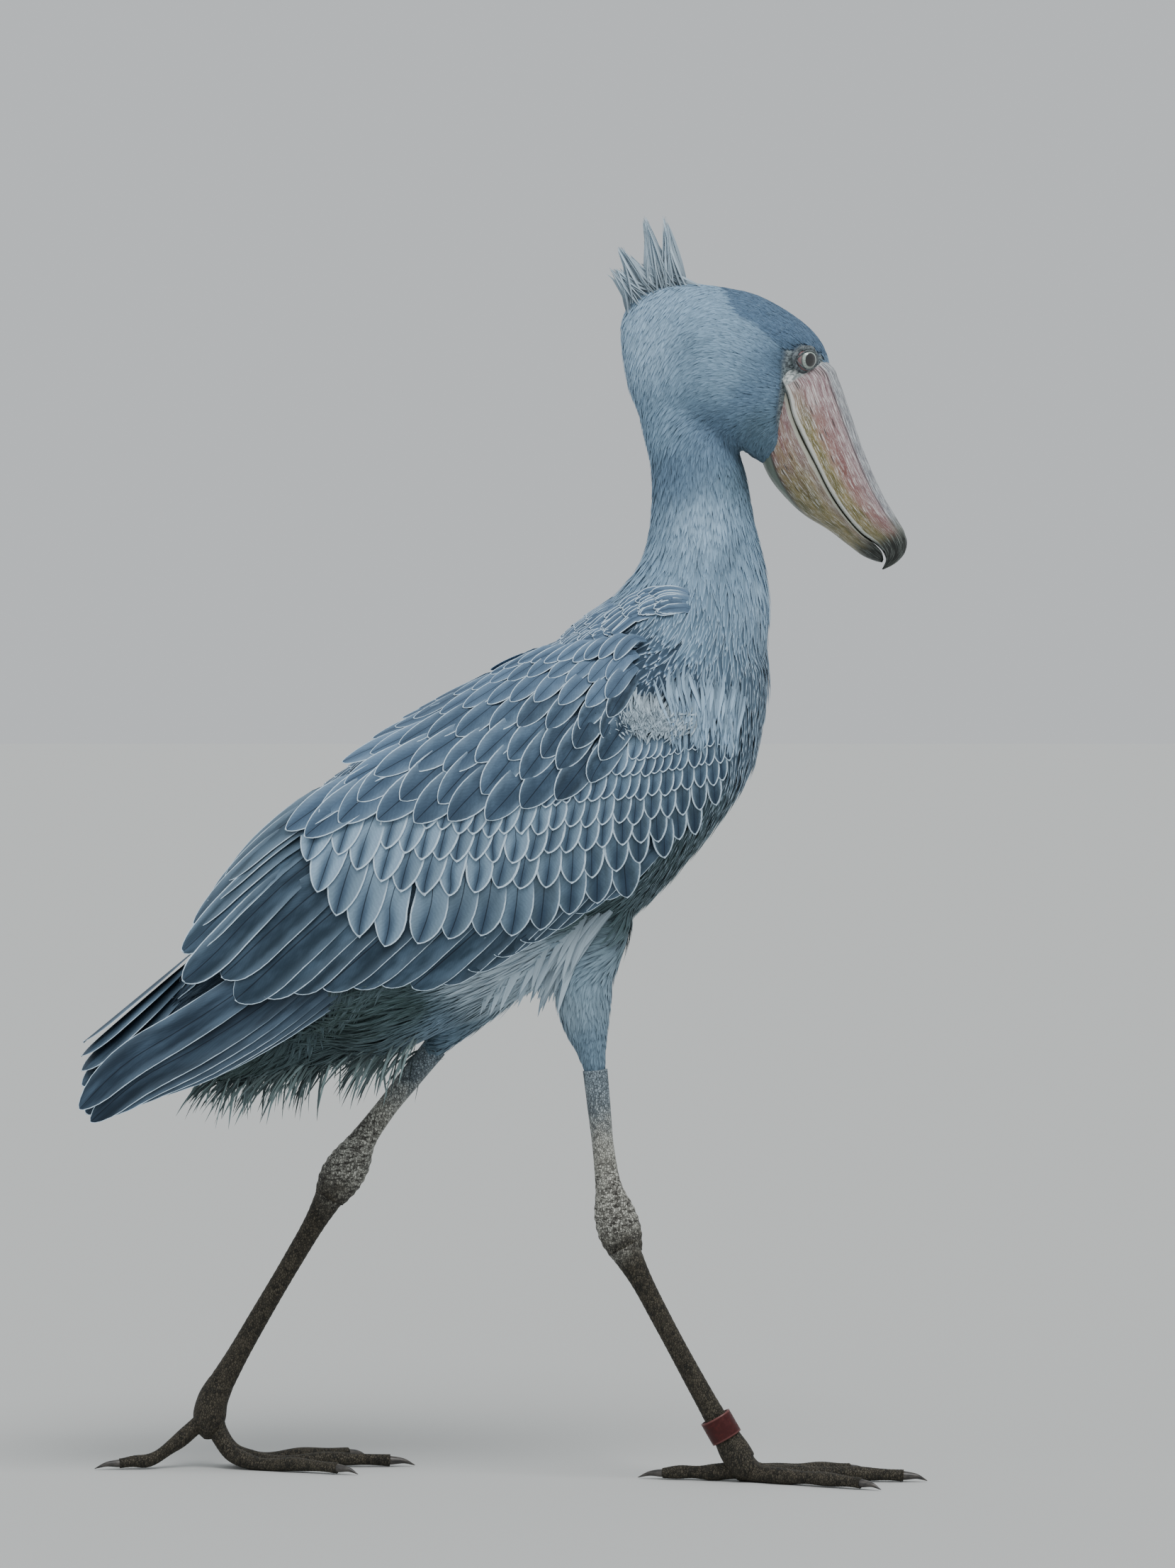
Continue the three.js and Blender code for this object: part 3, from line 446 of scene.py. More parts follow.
def feather_finish(name, barbs, heart_dark, heart_low, roughness=0.65):
    """Vanes: tinted by place, a dark shaft, slanting barbs, a dark heart and a thin pale rim.

    Edge is the distance to the rim and Rim the width of the pale rim, both in millimetres.
    """
    mat, p = material(name)
    across, along, _ = p.uv("Vane")
    tint, rim, lot, edge = p.mark("Tint", 0), p.mark("Rim"), p.mark("Lot"), p.mark("Edge")
    vane = p.own_place(across, along, lot)
    off = p.sum("ABSOLUTE", p.sum("SUBTRACT", across, 0.5))
    slant = p.add(off, -barbs * 0.45, p.times(along, barbs))
    wisp = p.noise(1, 3, vector=vane, stretch=(7, 22, 1))
    slant = p.add(wisp, 2.0, slant)
    comb = p.add(p.sum("SINE", p.times(slant, 2 * pi)), 0.5, 0.5)
    cloud = p.noise(1, 3, vector=vane, stretch=(3, 4, 1))
    base = p.mix(p.step(cloud, 0.35, 0.7, 0.0, 0.25), tint, BLOOM)
    base = p.mix(p.times(comb, 0.1), base, BARB_SHADOW)
    base = p.mix(1.0, base, p.add(lot, 0.36, 0.82), "MULTIPLY")
    marked = p.step(rim, 0.0, 1.2)
    spread = p.add(cloud, 0.2, p.times(off, 2.0))
    heart = p.step(spread, 0.12, 0.72, heart_dark, 0.0)
    heart = p.times(heart, p.step(along, heart_low, 0.8))
    base = p.mix(p.times(heart, marked), base, VANE_HEART)
    halo = p.times(p.step(spread, 0.55, 1.1, 0.0, 0.4), marked)
    base = p.mix(halo, base, VANE_HALO)
    base = p.mix(p.step(off, 0.005, 0.022, 0.75, 0.0), base, SHAFT)
    ragged = p.add(p.sum("SUBTRACT", wisp, 0.5), 1.3, edge)
    pale = p.step(p.sum("DIVIDE", ragged, p.sum("MAXIMUM", rim, 0.01)), 1.25, 0.75)
    pale = p.times(pale, p.step(along, 0.3, 0.58))
    base = p.mix(p.times(pale, p.step(rim, 0.0, 0.3)), base, VANE_RIM)
    height = p.sum("SUBTRACT", p.times(comb, 0.5), p.step(off, 0.0, 0.03, 0.0, 0.8))
    p.finish(
        Base_Color=p.deepen(base),
        Roughness=roughness,
        Normal=p.bump(height, 0.25, 0.0005),
        Specular_IOR_Level=0.16,
        Sheen_Weight=0.04,
        Sheen_Roughness=0.5,
    )
    p.shader.inputs["Sheen Tint"].default_value = (0.75, 0.87, 1, 1)
    return mat


def plume_finish():
    """Small soft body feathers: tinted by place, with painted shade towards the root, pale rims and
    fine lengthways barbs.
    """
    mat, p = material("soft plumage")
    across, along, _ = p.uv("Vane")
    tint, rim, lot = p.mark("Tint", 0), p.mark("Rim"), p.mark("Lot")
    vane = p.own_place(across, along, lot)
    off = p.sum("ABSOLUTE", p.sum("SUBTRACT", across, 0.5))
    fine = p.noise(1, 3, vector=vane, stretch=(11, 2.2, 1), rough=0.6)
    base = p.mix(1.0, tint, p.add(lot, 0.26, 0.87), "MULTIPLY")
    # painted shade: each plume darker towards its root, where it lies under its neighbours
    base = p.mix(1.0, base, p.step(along, 0.0, 0.7, 0.68, 1.0), "MULTIPLY")
    base = p.mix(p.step(fine, 0.5, 0.72, 0.0, 0.3), base, PLUME_LIGHT)
    base = p.mix(p.step(fine, 0.26, 0.46, 0.34, 0.0), base, PLUME_SHADOW)
    reach = p.sum("MAXIMUM", p.times(off, 2.0), p.step(along, 0.6, 1.0))
    heart = p.times(p.step(reach, 0.4, 0.82, 0.92, 0.0), rim)
    base = p.mix(heart, base, PLUME_HEART)
    base = p.mix(p.times(p.step(reach, 0.7, 0.95), rim), base, PLUME_RIM)
    p.finish(
        Base_Color=p.deepen(base),
        Roughness=0.85,
        Specular_IOR_Level=0.1,
        Sheen_Weight=0.08,
        Sheen_Roughness=0.55,
    )
    p.shader.inputs["Sheen Tint"].default_value = (0.8, 0.9, 1, 1)
    return mat


def skin_finish():
    """Under the coat the skin carries the coat's own tints, darkened as painted shade between the
    feathers; bare face skin is grey and folded.
    """
    mat, p = material("skin under the feathers")
    cloud = p.noise(45, 5)
    # painted shade: the coat's tints darkened so the skin seen between the feathers reads as shade
    under = p.mix(1.0, p.mark("Tint", 0), p.step(cloud, 0.3, 0.7, 0.62, 0.88), "MULTIPLY")
    folds = p.noise(260, 5, stretch=(1, 1, 1.7), rough=0.62, warp=0.9)
    bare = p.mix(p.step(folds, 0.4, 0.6), (0.05, 0.065, 0.075), (0.22, 0.27, 0.29))
    share = p.mark("Bare")
    base = p.mix(share, p.deepen(under), bare)
    p.finish(
        Base_Color=base,
        Roughness=p.step(share, 0.0, 1.0, 0.95, 0.55),
        Normal=p.bump(p.times(folds, share), 0.9, 0.0016),
    )
    return mat


def bill_finish(lower=False):
    """Horn: rosy above, olive yellow by the mouth line, pale scratches and dark dashes."""
    mat, p = material("lower bill horn" if lower else "upper bill horn")
    height, along, spread = p.uv("Horn")
    blotch = p.noise(1, 4, vector=spread, stretch=(5, 7, 1), rough=0.6)
    streak = p.noise(1, 5, vector=spread, stretch=(26, 9, 1), rough=0.66, warp=0.25)
    scratch = p.noise(1, 4, vector=spread, stretch=(110, 17, 1), rough=0.72, warp=0.3)
    grain = p.noise(520, 5, rough=0.7)
    rosy = p.mix(p.step(blotch, 0.35, 0.65), (0.2, 0.085, 0.08), (0.3, 0.185, 0.16))
    mauve = p.mix(p.step(streak, 0.4, 0.62), (0.21, 0.125, 0.14), (0.4, 0.335, 0.35))
    olive = p.mix(p.step(blotch, 0.38, 0.62), (0.13, 0.115, 0.04), (0.26, 0.215, 0.095))
    if lower:
        share = p.add(blotch, 0.5, along)
        body = p.mix(p.step(share, 0.35, 0.75), rosy, olive)
        body = p.mix(p.step(height, 0.55, 0.9, 0.0, 0.45), body, mauve)
    else:
        share = p.add(blotch, 0.34, height)
        share = p.add(along, -0.2, share)
        body = p.mix(p.step(share, 0.26, 0.5), olive, rosy)
        body = p.mix(p.step(share, 0.45, 0.85, 0.0, 0.8), body, mauve)
        body = p.mix(p.step(along, 0.04, 0.3, 0.75, 0.0), body, mauve)
    pale = p.step(p.add(along, -0.09, streak), 0.52, 0.64, 0.0, 0.6)
    body = p.mix(pale, body, WORN_HORN)
    body = p.mix(p.step(scratch, 0.54, 0.62, 0.0, 0.75), body, SCRATCH)
    dash = p.cells(1, "F1", (15, 9, 1), vector=spread)
    pick = p.gray(p.cells(1, "F1", (15, 9, 1), vector=spread, output=1))
    marks = p.times(p.step(dash, 0.12, 0.3, 1.0, 0.0), p.step(pick, 0.56, 0.64))
    dirt = p.times(p.step(blotch, 0.56, 0.7), p.step(streak, 0.5, 0.36, 0.0, 0.7))
    marks = p.sum("MAXIMUM", p.times(marks, 0.85), dirt)
    body = p.mix(marks, body, HORN_DIRT)
    horn = p.mix(p.step(streak, 0.5, 0.64), (0.008, 0.011, 0.009), (0.24, 0.27, 0.25))
    if lower:
        seam = p.add(along, -0.62, 0.36)
        gular = p.step(p.sum("SUBTRACT", height, seam), 0.02, -0.03)
        body = p.mix(gular, body, THROAT_SKIN)
        rim = p.sum("ABSOLUTE", p.sum("SUBTRACT", height, seam))
        body = p.mix(p.step(rim, 0.0, 0.05, 0.7, 0.0), body, HORN_SEAM)
        body = p.mix(p.step(height, 0.9, 0.94), body, (0.5, 0.5, 0.42))
        body = p.mix(p.step(p.add(streak, 0.2, along), 0.9, 1.02), body, horn)
    else:
        ridge = p.mix(p.step(scratch, 0.42, 0.6), (0.13, 0.15, 0.17), (0.5, 0.54, 0.56))
        body = p.mix(p.step(height, 0.83, 0.87, 0.0, 0.85), body, ridge)
        groove = p.sum("ABSOLUTE", p.sum("SUBTRACT", height, 0.83))
        body = p.mix(p.step(groove, 0.006, 0.024, 0.75, 0.0), body, (0.05, 0.05, 0.055))
        # pale along the mouth line: the horn's pale edge together with a painted highlight on it
        body = p.mix(p.step(height, 0.07, 0.035, 0.0, 0.85), body, (0.6, 0.62, 0.58))
        shaded = p.step(p.add(blotch, 0.2, along), 0.8, 1.0, 0.0, 0.7)
        body = p.mix(shaded, body, (0.075, 0.08, 0.04))
        body = p.mix(p.step(p.add(streak, 0.1, along), 0.86, 0.92), body, horn)
        folds = p.noise(1, 4, vector=spread, stretch=(9, 60, 1), rough=0.6, warp=0.8)
        cere = p.mix(p.step(folds, 0.38, 0.6), (0.2, 0.23, 0.23), (0.62, 0.66, 0.65))
        body = p.mix(p.step(p.add(streak, 0.02, along), 0.085, 0.07), body, cere)
    relief = p.add(grain, 0.3, p.times(streak, 1.2))
    relief = p.add(marks, -0.8, relief)
    p.finish(
        Base_Color=body,
        Roughness=p.step(streak, 0.4, 0.66, 0.36, 0.6),
        Normal=p.bump(relief, 0.5, 0.0012),
        Specular_IOR_Level=0.35,
        Subsurface_Weight=0.04,
        Coat_Weight=0.06,
    )
    p.shader.inputs["Subsurface Radius"].default_value = (0.005, 0.003, 0.002)
    p.shader.inputs["Subsurface Scale"].default_value = 1.0
    p.shader.inputs["Coat Roughness"].default_value = 0.35
    return mat


def face_finish():
    """Folded dark skin round the eye."""
    mat, p = material("skin round the eye")
    folds = p.noise(330, 5, rough=0.62, warp=0.9)
    base = p.mix(p.step(folds, 0.4, 0.6), (0.035, 0.045, 0.052), (0.14, 0.17, 0.185))
    p.finish(Base_Color=base, Roughness=0.55, Normal=p.bump(folds, 0.8, 0.0012))
    return mat


def lid_finish():
    mat, p = material("eyelid rim")
    folds = p.noise(620, 5)
    base = p.mix(p.step(folds, 0.38, 0.62), (0.03, 0.038, 0.045), (0.13, 0.155, 0.16))
    p.finish(Base_Color=base, Roughness=0.45, Normal=p.bump(folds, 0.5, 0.0006))
    return mat


def eye_finish():
    """A pale iris with a black pupil; marks on the ball carry the distance from its middle."""
    mat, p = material("wet eye")
    ring = p.mark("Ring")
    streaks = p.noise(9, 4, vector=p.mark("RayPlace", 1))
    iris = p.mix(p.step(streaks, 0.35, 0.65), (0.2, 0.255, 0.23), (0.42, 0.49, 0.44))
    iris = p.mix(p.step(ring, 0.88, 1.0), iris, (0.05, 0.06, 0.06))
    base = p.mix(p.step(ring, 0.66, 0.7), (0.004, 0.004, 0.005), iris)
    base = p.mix(p.step(ring, 1.0, 1.06), base, (0.2, 0.11, 0.115))
    p.finish(Base_Color=base, Roughness=0.08, Coat_Weight=1.0)
    p.shader.inputs["Coat Roughness"].default_value = 0.02
    return mat


def leg_finish(name, scale, level=None):
    """Scaly bare leg: blue-grey by the feathers, pale and worn at the ankle, dark brown below.

    Down is 0 at the feather edge, 1 under the ankle and 2 at the foot.
    """
    mat, p = material(name)
    plates = p.cells(scale, "DISTANCE_TO_EDGE", (1, 1, 0.62))
    lot = p.gray(p.cells(scale, "F1", (1, 1, 0.62), output=1))
    cloud = p.noise(60, 5)
    down = level or p.add(cloud, 0.3, p.sum("SUBTRACT", p.mark("Down"), 0.15))
    low, worn = p.step(down, 0.05, 0.5), p.step(down, 0.82, 1.12)
    dark = p.mix(low, (0.1, 0.13, 0.155), (0.1, 0.095, 0.085))
    dark = p.mix(worn, dark, (0.014, 0.013, 0.009))
    pale = p.mix(low, (0.3, 0.37, 0.42), (0.56, 0.56, 0.5))
    pale = p.mix(worn, pale, (0.07, 0.06, 0.042))
    share = p.sum("ADD", p.times(lot, 0.6), p.times(cloud, 0.6))
    base = p.mix(p.times(p.step(share, 0.3, 0.75), 0.85), dark, pale)
    seam = p.times(p.step(plates, 0.0, 0.1, 1.0, 0.0), 0.75)
    base = p.mix(seam, base, p.mix(1.0, dark, (0.35, 0.35, 0.35), "MULTIPLY"))
    creases = p.noise(150, 4, stretch=(1, 1, 3.2), warp=0.6)
    folded = p.times(p.step(down, 0.45, 0.6), p.step(down, 1.15, 0.95))
    crease = p.times(folded, p.step(creases, 0.46, 0.38))
    # painted shade: the creases painted dark, as well as sunk by the bump
    base = p.mix(p.times(crease, 0.8), base, (0.03, 0.025, 0.022))
    height = p.add(p.noise(900, 4), 0.25, p.step(plates, 0.0, 0.16))
    height = p.add(crease, -2.5, height)
    p.finish(Base_Color=base, Roughness=0.62, Specular_IOR_Level=0.28,
             Normal=p.bump(height, 0.8, 0.0011))
    return mat


def claw_finish():
    mat, p = material("claw horn")
    grain = p.noise(240, 5, stretch=(0.4, 1, 1))
    base = p.mix(p.step(grain, 0.35, 0.7), (0.02, 0.019, 0.018), (0.085, 0.075, 0.066))
    p.finish(Base_Color=base, Roughness=0.38, Normal=p.bump(grain, 0.3, 0.0006))
    return mat


def band_finish():
    """Dark red plastic with a scuffed pale rim."""
    mat, p = material("leg ring plastic")
    height = p.mark("Edge")
    scuff = p.noise(300, 6, rough=0.7)
    base = p.mix(p.step(scuff, 0.45, 0.75), (0.04, 0.004, 0.004), (0.08, 0.01, 0.009))
    base = p.mix(p.times(p.step(height, 0.82, 0.92), 0.4), base, (0.25, 0.1, 0.09))
    p.finish(Base_Color=base, Roughness=p.step(scuff, 0.4, 0.7, 0.32, 0.6), Specular_IOR_Level=0.3,
             Normal=p.bump(scuff, 0.25, 0.0005))
    return mat


SKIN = skin_finish()
PLUME = plume_finish()
COVERT = feather_finish("covert feathers", 16, 0.8, 0.3)
SCAPULAR = feather_finish("scapular feathers", 16, 0.55, -0.2)
FLIGHT = feather_finish("flight feathers", 34, 0.3, -0.2, 0.6)


# The skin: one closed surface under all the plumage

COAT = 8.0  # depth of the body plumage
HEAD_COAT = 5.0
THIGH_COAT = 5.0
SKIN_GRID = 4.4

LEGS = {
    "right": dict(
        side=-1, thigh_y=-46, foot_y=-54,
        thigh=[[86, 548, 38, 26], [84, 505, 42, 31], [80, 461, 31, 27], [82, 424, 25.5, 23],
               [88, 392, 17, 16], [91.8, 370, 12.4, 12]],
        shank=[[91, 376, 11.4, 11], [94.5, 342, 10.6, 10], [99, 300, 10, 9.5],
               [103.5, 268, 12.5, 11.5], [109, 244, 19, 15], [114.5, 225, 19.5, 15.5],
               [120.5, 207, 14.5, 12.6]],
        tarsus=[[117, 214, 14.5, 13], [130, 190, 10.6, 9.6], [152, 148, 9, 8.4],
                [180, 96, 9.2, 8.6], [200, 60, 10.2, 9.6], [213, 37, 12.2, 11.6]],
        ball=[[211, 41, 12.2, 11.8], [219, 27, 14.2, 15],
              [228, 14, 13.2, 17], [238, 9.5, 8, 14]],
        foot=(226, 12), lifted=False, stub=42,
        toes={"inner": (27, 112, 20, 8.2), "middle": (-2, 148, 20.5, 8.8),
              "outer": (-31, 124, 20, 8.2), "hind": (168, 74, 24, 7.8)},
    ),
    "left": dict(
        side=1, thigh_y=46, foot_y=52,
        thigh=[[56, 540, 38, 26], [28, 498, 42, 31], [-2, 458, 33, 27], [-26, 428, 25, 22],
               [-48, 402, 16.5, 16], [-62, 385, 12.4, 12]],
        shank=[[-57, 391, 11.4, 11], [-79, 364, 10.6, 10], [-106, 330, 10, 9.5],
               [-124, 305, 12.5, 11.5], [-136, 284, 19, 15], [-146, 268, 19.5, 15.5],
               [-155.5, 251, 14.5, 12.6]],
        tarsus=[[-152, 258, 14.5, 13], [-166, 233, 10.6, 9.6], [-190, 192, 9, 8.4],
                [-220, 141, 9.2, 8.6], [-243, 101, 10.2, 9.6], [-258, 75, 12.2, 11.6]],
        ball=[[-256, 79, 12.2, 11.8], [-264, 62, 14.4, 15.5],
              [-267, 46, 15, 17], [-268, 34, 11, 14], [-268, 27, 4, 7]],
        foot=(-266, 48), lifted=True, stub=76,
        toes={"inner": (-24, 132, 20, 8.2), "middle": (3, 168, 22, 8.8),
              "outer": (28.8, 144, 20, 8.2), "hind": (190, 84, 24, 7.8)},
    ),
}
TOE_REST = 7.4


def body_rings(inset):
    rings = []
    for a in np.linspace(-112 + inset, 556, 46):
        top, low = BACK(a) - inset, BELLY(a) + inset
        middle, half = (top + low) / 2, max((top - low) / 2, 1)
        wide = max(TORSO_HALF(a) - inset, 1)
        rings.append(section(middle, half, wide, lambda b, y, a=a: from_body(a, b, y)))
    return rings


def folded_wing_rings(inset):
    """The body as wide as the folded wings, from the shoulder to the rump."""
    rings = []
    for a in np.linspace(-64, 470, 40):
        t = (a + 64) / 534
        close = min(1, 0.55 + 5 * t) * min(1, 0.3 + 5 * (1 - t))
        top, low = OUTER_BACK(a) - inset - 4, OUTER_BELLY(a) + inset + 6
        middle, half = (top + low) / 2, close * (top - low) / 2
        wide = close * (OUTER_HALF(a) - inset)
        rings.append(
            section(middle, half, wide, lambda b, y, a=a: from_body(a, b, y), OUTER_FULLNESS))
    return rings


def neck_rings(inset):
    rings = []
    for z in np.linspace(1010, 700, 30):
        back, front = NECK_BACK(z) + inset, NECK_FRONT(z) - inset
        rings.append(section((front + back) / 2, (front - back) / 2, NECK_HALF(z) - inset,
                             lambda x, y, z=z: stack(x, y, z), 2.0))
    return rings


BROW = dict(start=-2, end=66, up=62, out=3.5, tall=9)
# where the feathers of the face end against the bill: height, and how far forward
FACE_EDGE = curve([
    [905, 266], [918, 263], [950, 260], [965, 257.5], [980, 258], [1007, 261], [1036, 263],
])
EYE = dict(back=20, up=49, out=33, radius=11)
GAZE = np.array([0.56, 0.82, -0.06])


def bare_face(points):
    """How bare the skin is: 1 between the feather edge and the bill and round the eye."""
    x, y, z = points.T
    eye = from_head(EYE["back"], EYE["up"], EYE["out"])
    near = np.sqrt((x - eye[0]) ** 2 + (np.abs(y) - eye[1]) ** 2 + (z - eye[2]) ** 2)
    brow = smoothstep(1033, 1029, z + 0.12 * (x - 283))
    ahead = smoothstep(-1.5, 1.5, x - FACE_EDGE(z))
    side = np.maximum(smoothstep(12, 20, np.abs(y)), smoothstep(1018, 1012, z))
    return np.maximum(ahead * brow * side, smoothstep(13.5, 12, near)) * (z > 900)


def head_rings(inset):
    """The head, drawn in ahead of the feather edge so that the bill's base shows."""
    rings = []
    for at in np.linspace(-14, 190 - inset, 60):
        top, low = CROWN(at) - inset, JAW(at) + inset
        middle, half = (top + low) / 2, max((top - low) / 2, 1)
        c, s = around(HEAD_CORNERS)
        full = np.where(s < 0, 2.1 + 1.0 * smoothstep(80, 40, at), 2.1)
        e = middle + half * bulge(s, full)
        shelf = np.exp(-(((e - BROW["up"]) / BROW["tall"]) ** 2))
        span = sin(pi * min(max((at - BROW["start"]) / (BROW["end"] - BROW["start"]), 0), 1))
        wide = max(HEAD_HALF(at) - inset, 1) + BROW["out"] * shelf * span
        flat = from_head(at, e, 0)
        ahead = smoothstep(-5, 7, flat[:, 0] - FACE_EDGE(flat[:, 2]))
        ahead = ahead * smoothstep(1024, 1008, flat[:, 2])
        rings.append(from_head(at, e, wide * bulge(c, full) * (1 - 0.24 * ahead)))
    return rings


def make_skin():
    whole = bmesh.new()
    parts = [
        body_rings(COAT), folded_wing_rings(COAT - 1), neck_rings(COAT - 1), head_rings(HEAD_COAT),
    ]
    for leg in LEGS.values():
        inside = [[x, z, d - THIGH_COAT, w - THIGH_COAT] for x, z, d, w in leg["thigh"]]
        parts.append(path_rings(inside, leg["thigh_y"]))
    for rings in parts:
        mesh = mesh_of("part", loft(rings))
        whole.from_mesh(mesh)
        bpy.data.meshes.remove(mesh)
    obj = new_object("skin", whole, SKIN)
    remesh = obj.modifiers.new("one skin", "REMESH")
    remesh.mode = "VOXEL"
    remesh.voxel_size = SKIN_GRID * MM
    remesh.use_smooth_shade = True
    smooth = obj.modifiers.new("soften", "SMOOTH")
    smooth.iterations = 4
    smooth.factor = 0.5
    bpy.context.view_layer.objects.active = obj
    obj.select_set(True)
    for mod in list(obj.modifiers):
        bpy.ops.object.modifier_apply(modifier=mod.name)
    bpy.ops.object.mode_set(mode="EDIT")
    bpy.ops.mesh.select_all(action="SELECT")
    bpy.ops.uv.smart_project(angle_limit=radians(66), island_margin=0.002)
    bpy.ops.object.mode_set(mode="OBJECT")
    obj.data.uv_layers[0].name = "OFBake"
    obj.select_set(False)
    return obj


skin = make_skin()
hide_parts("torso")
skin_mesh = skin.data
skin_tree = BVHTree.FromPolygons(
    [v.co[:] for v in skin_mesh.vertices], [p.vertices[:] for p in skin_mesh.polygons]
)
face_count = len(skin_mesh.polygons)
vertex_place = read(skin_mesh.vertices, "co", 3)
vertex_normal = read(skin_mesh.vertices, "normal", 3)
loop_vertex = read(skin_mesh.loops, "vertex_index", kind=int)
face_start = read(skin_mesh.polygons, "loop_start", kind=int)
face_total = read(skin_mesh.polygons, "loop_total", kind=int)
face_centre = read(skin_mesh.polygons, "center", 3)
face_area = read(skin_mesh.polygons, "area")
loop_uv = read(skin_mesh.uv_layers["OFBake"].data, "uv", 2)
face_uv = np.add.reduceat(loop_uv, face_start) / face_total[:, None]
face_soft_normal = np.add.reduceat(vertex_normal[loop_vertex], face_start)
face_soft_normal /= np.linalg.norm(face_soft_normal, axis=1, keepdims=True)


def nearest(points):
    """The skin's nearest points and smooth normals there, for points in metres."""
    found = [skin_tree.find_nearest(p) for p in points.tolist()]
    where = np.array([f[0][:] for f in found])
    return where, face_soft_normal[[f[2] for f in found]]


# Leaves: many feathers joined as one mesh

def leaf_pattern(rows):
    """A narrow closed leaf: rings of left edge, raised middle and right edge, and a pointed tip."""
    bm = bmesh.new()
    rings = []
    loops = []
    for k in range(rows):
        place = Matrix.Translation((0, 0, k))
        made = bmesh.ops.create_circle(bm, cap_ends=False, radius=1, segments=3, matrix=place)
        rings.append(made["verts"])
        loops.append(list({e for v in rings[-1] for e in v.link_edges}))
    for one, two in zip(loops, loops[1:]):
        bmesh.ops.bridge_loops(bm, edges=one + two)
    tip = bmesh.ops.create_vert(bm, co=(0, 0, rows))["vert"][0]
    last = rings[-1]
    for i in range(3):
        bm.faces.new((last[i], last[(i + 1) % 3], tip))
    bm.faces.new(rings[0])
    bmesh.ops.recalc_face_normals(bm, faces=bm.faces[:])
    bm.verts.index_update()
    bm.verts.ensure_lookup_table()
    order = [v.index for ring in rings for v in ring] + [tip.index]
    rank = {index: i for i, index in enumerate(order)}
    bmesh.ops.triangulate(bm, faces=bm.faces[:])
    faces = np.array([[rank[v.index] for v in f.verts] for f in bm.faces])
    bm.free()
    return faces


def outward(points, faces):
    """The faces turned, if need be, so that the closed piece at points has its faces outward."""
    a, b, c = (points[faces[:, k]] for k in range(3))
    return faces if np.sum(a * np.cross(b, c)) > 0 else faces[:, ::-1]


def write_mesh(name, points, faces, vane_uv, bake_uv, tint, rim, lot, on_edge, mat):
    """A mesh from arrays: points (n, 3), triangles (m, 3) and one value a point for the rest.

    The thin edge between a feather's two faces is marked sharp, so each face keeps its own shading.
    """
    mesh = bpy.data.meshes.new(name)
    mesh.vertices.add(len(points))
    mesh.vertices.foreach_set("co", points.astype(np.float32).ravel())
    mesh.loops.add(faces.size)
    mesh.loops.foreach_set("vertex_index", faces.astype(np.int32).ravel())
    mesh.polygons.add(len(faces))
    mesh.polygons.foreach_set("loop_start", np.arange(0, faces.size, 3, dtype=np.int32))
    mesh.polygons.foreach_set("loop_total", np.full(len(faces), 3, dtype=np.int32))
    mesh.update(calc_edges=True)
    ends = read(mesh.edges, "vertices", 2, np.int32)
    sharp = mesh.attributes.new("sharp_edge", "BOOLEAN", "EDGE")
    sharp.data.foreach_set("value", on_edge[ends].all(axis=1))
    for layer, values in (("OFBake", bake_uv), ("Vane", vane_uv)):
        uv = mesh.uv_layers.new(name=layer)
        uv.data.foreach_set("uv", values[faces.ravel()].astype(np.float32).ravel())
    for key, values in (("Tint", tint), ("Rim", rim), ("Lot", lot)):
        mark_points(mesh, key, values)
    mesh.validate()
    return dress(name, mesh, mat)


# How the small plumage lies, by place seen from the side, in millimetres:
# x, z, length, half width, stand (how far the tips lift), spacing
PLUMES = np.array([
    (262, 1010, 9, 0.85, 0.03, 1.9),
    (270, 1050, 9, 0.85, 0.02, 2.0),
    (225, 1085, 11, 0.95, 0.03, 2.1),
    (240, 980, 11, 0.95, 0.05, 2.1),
    (200, 1010, 13, 1.0, 0.06, 2.3),
    (150, 1080, 16, 1.1, 0.1, 2.5),
    (125, 1020, 18, 1.1, 0.13, 2.6),
    (150, 960, 18, 1.15, 0.11, 2.7),
    (235, 925, 14, 1.05, 0.08, 2.5),
    (190, 880, 22, 1.4, 0.1, 3.2),
    (140, 840, 28, 1.8, 0.1, 4.0),
    (250, 820, 32, 1.9, 0.1, 4.2),
    (190, 790, 40, 2.5, 0.08, 5.4),
    (150, 765, 34, 4.0, 0.06, 6.4),
    (110, 770, 38, 4.8, 0.05, 7.2),
    (240, 760, 50, 2.7, 0.09, 5.4),
    (230, 690, 56, 3.0, 0.09, 6.0),
    (140, 702, 24, 1.6, 0.2, 3.2),
    (60, 730, 42, 9.0, 0.04, 10.0),
    (190, 600, 52, 2.8, 0.09, 5.6),
    (100, 540, 40, 2.4, 0.08, 5.0),
    (80, 460, 20, 1.5, 0.09, 3.0),
    (88, 400, 13, 1.2, 0.08, 2.5),
    (40, 490, 44, 1.9, 0.12, 4.6),
    (-40, 420, 18, 1.4, 0.09, 3.0),
    (-10, 480, 44, 1.8, 0.14, 4.6),
    (-100, 430, 52, 1.6, 0.2, 4.6),
    (-220, 400, 60, 1.6, 0.22, 5.0),
    (-100, 620, 42, 9.0, 0.04, 10.0),
    (-230, 520, 50, 4.2, 0.08, 7.0),
])
POWDER = (0.28, 0.36, 0.43)
PALE = (0.36, 0.44, 0.51)
CHEEK = (0.17, 0.225, 0.285)
JAW_GREY = (0.135, 0.182, 0.215)
SLATE = (0.1, 0.142, 0.195)
BREAST = (0.2, 0.255, 0.3)
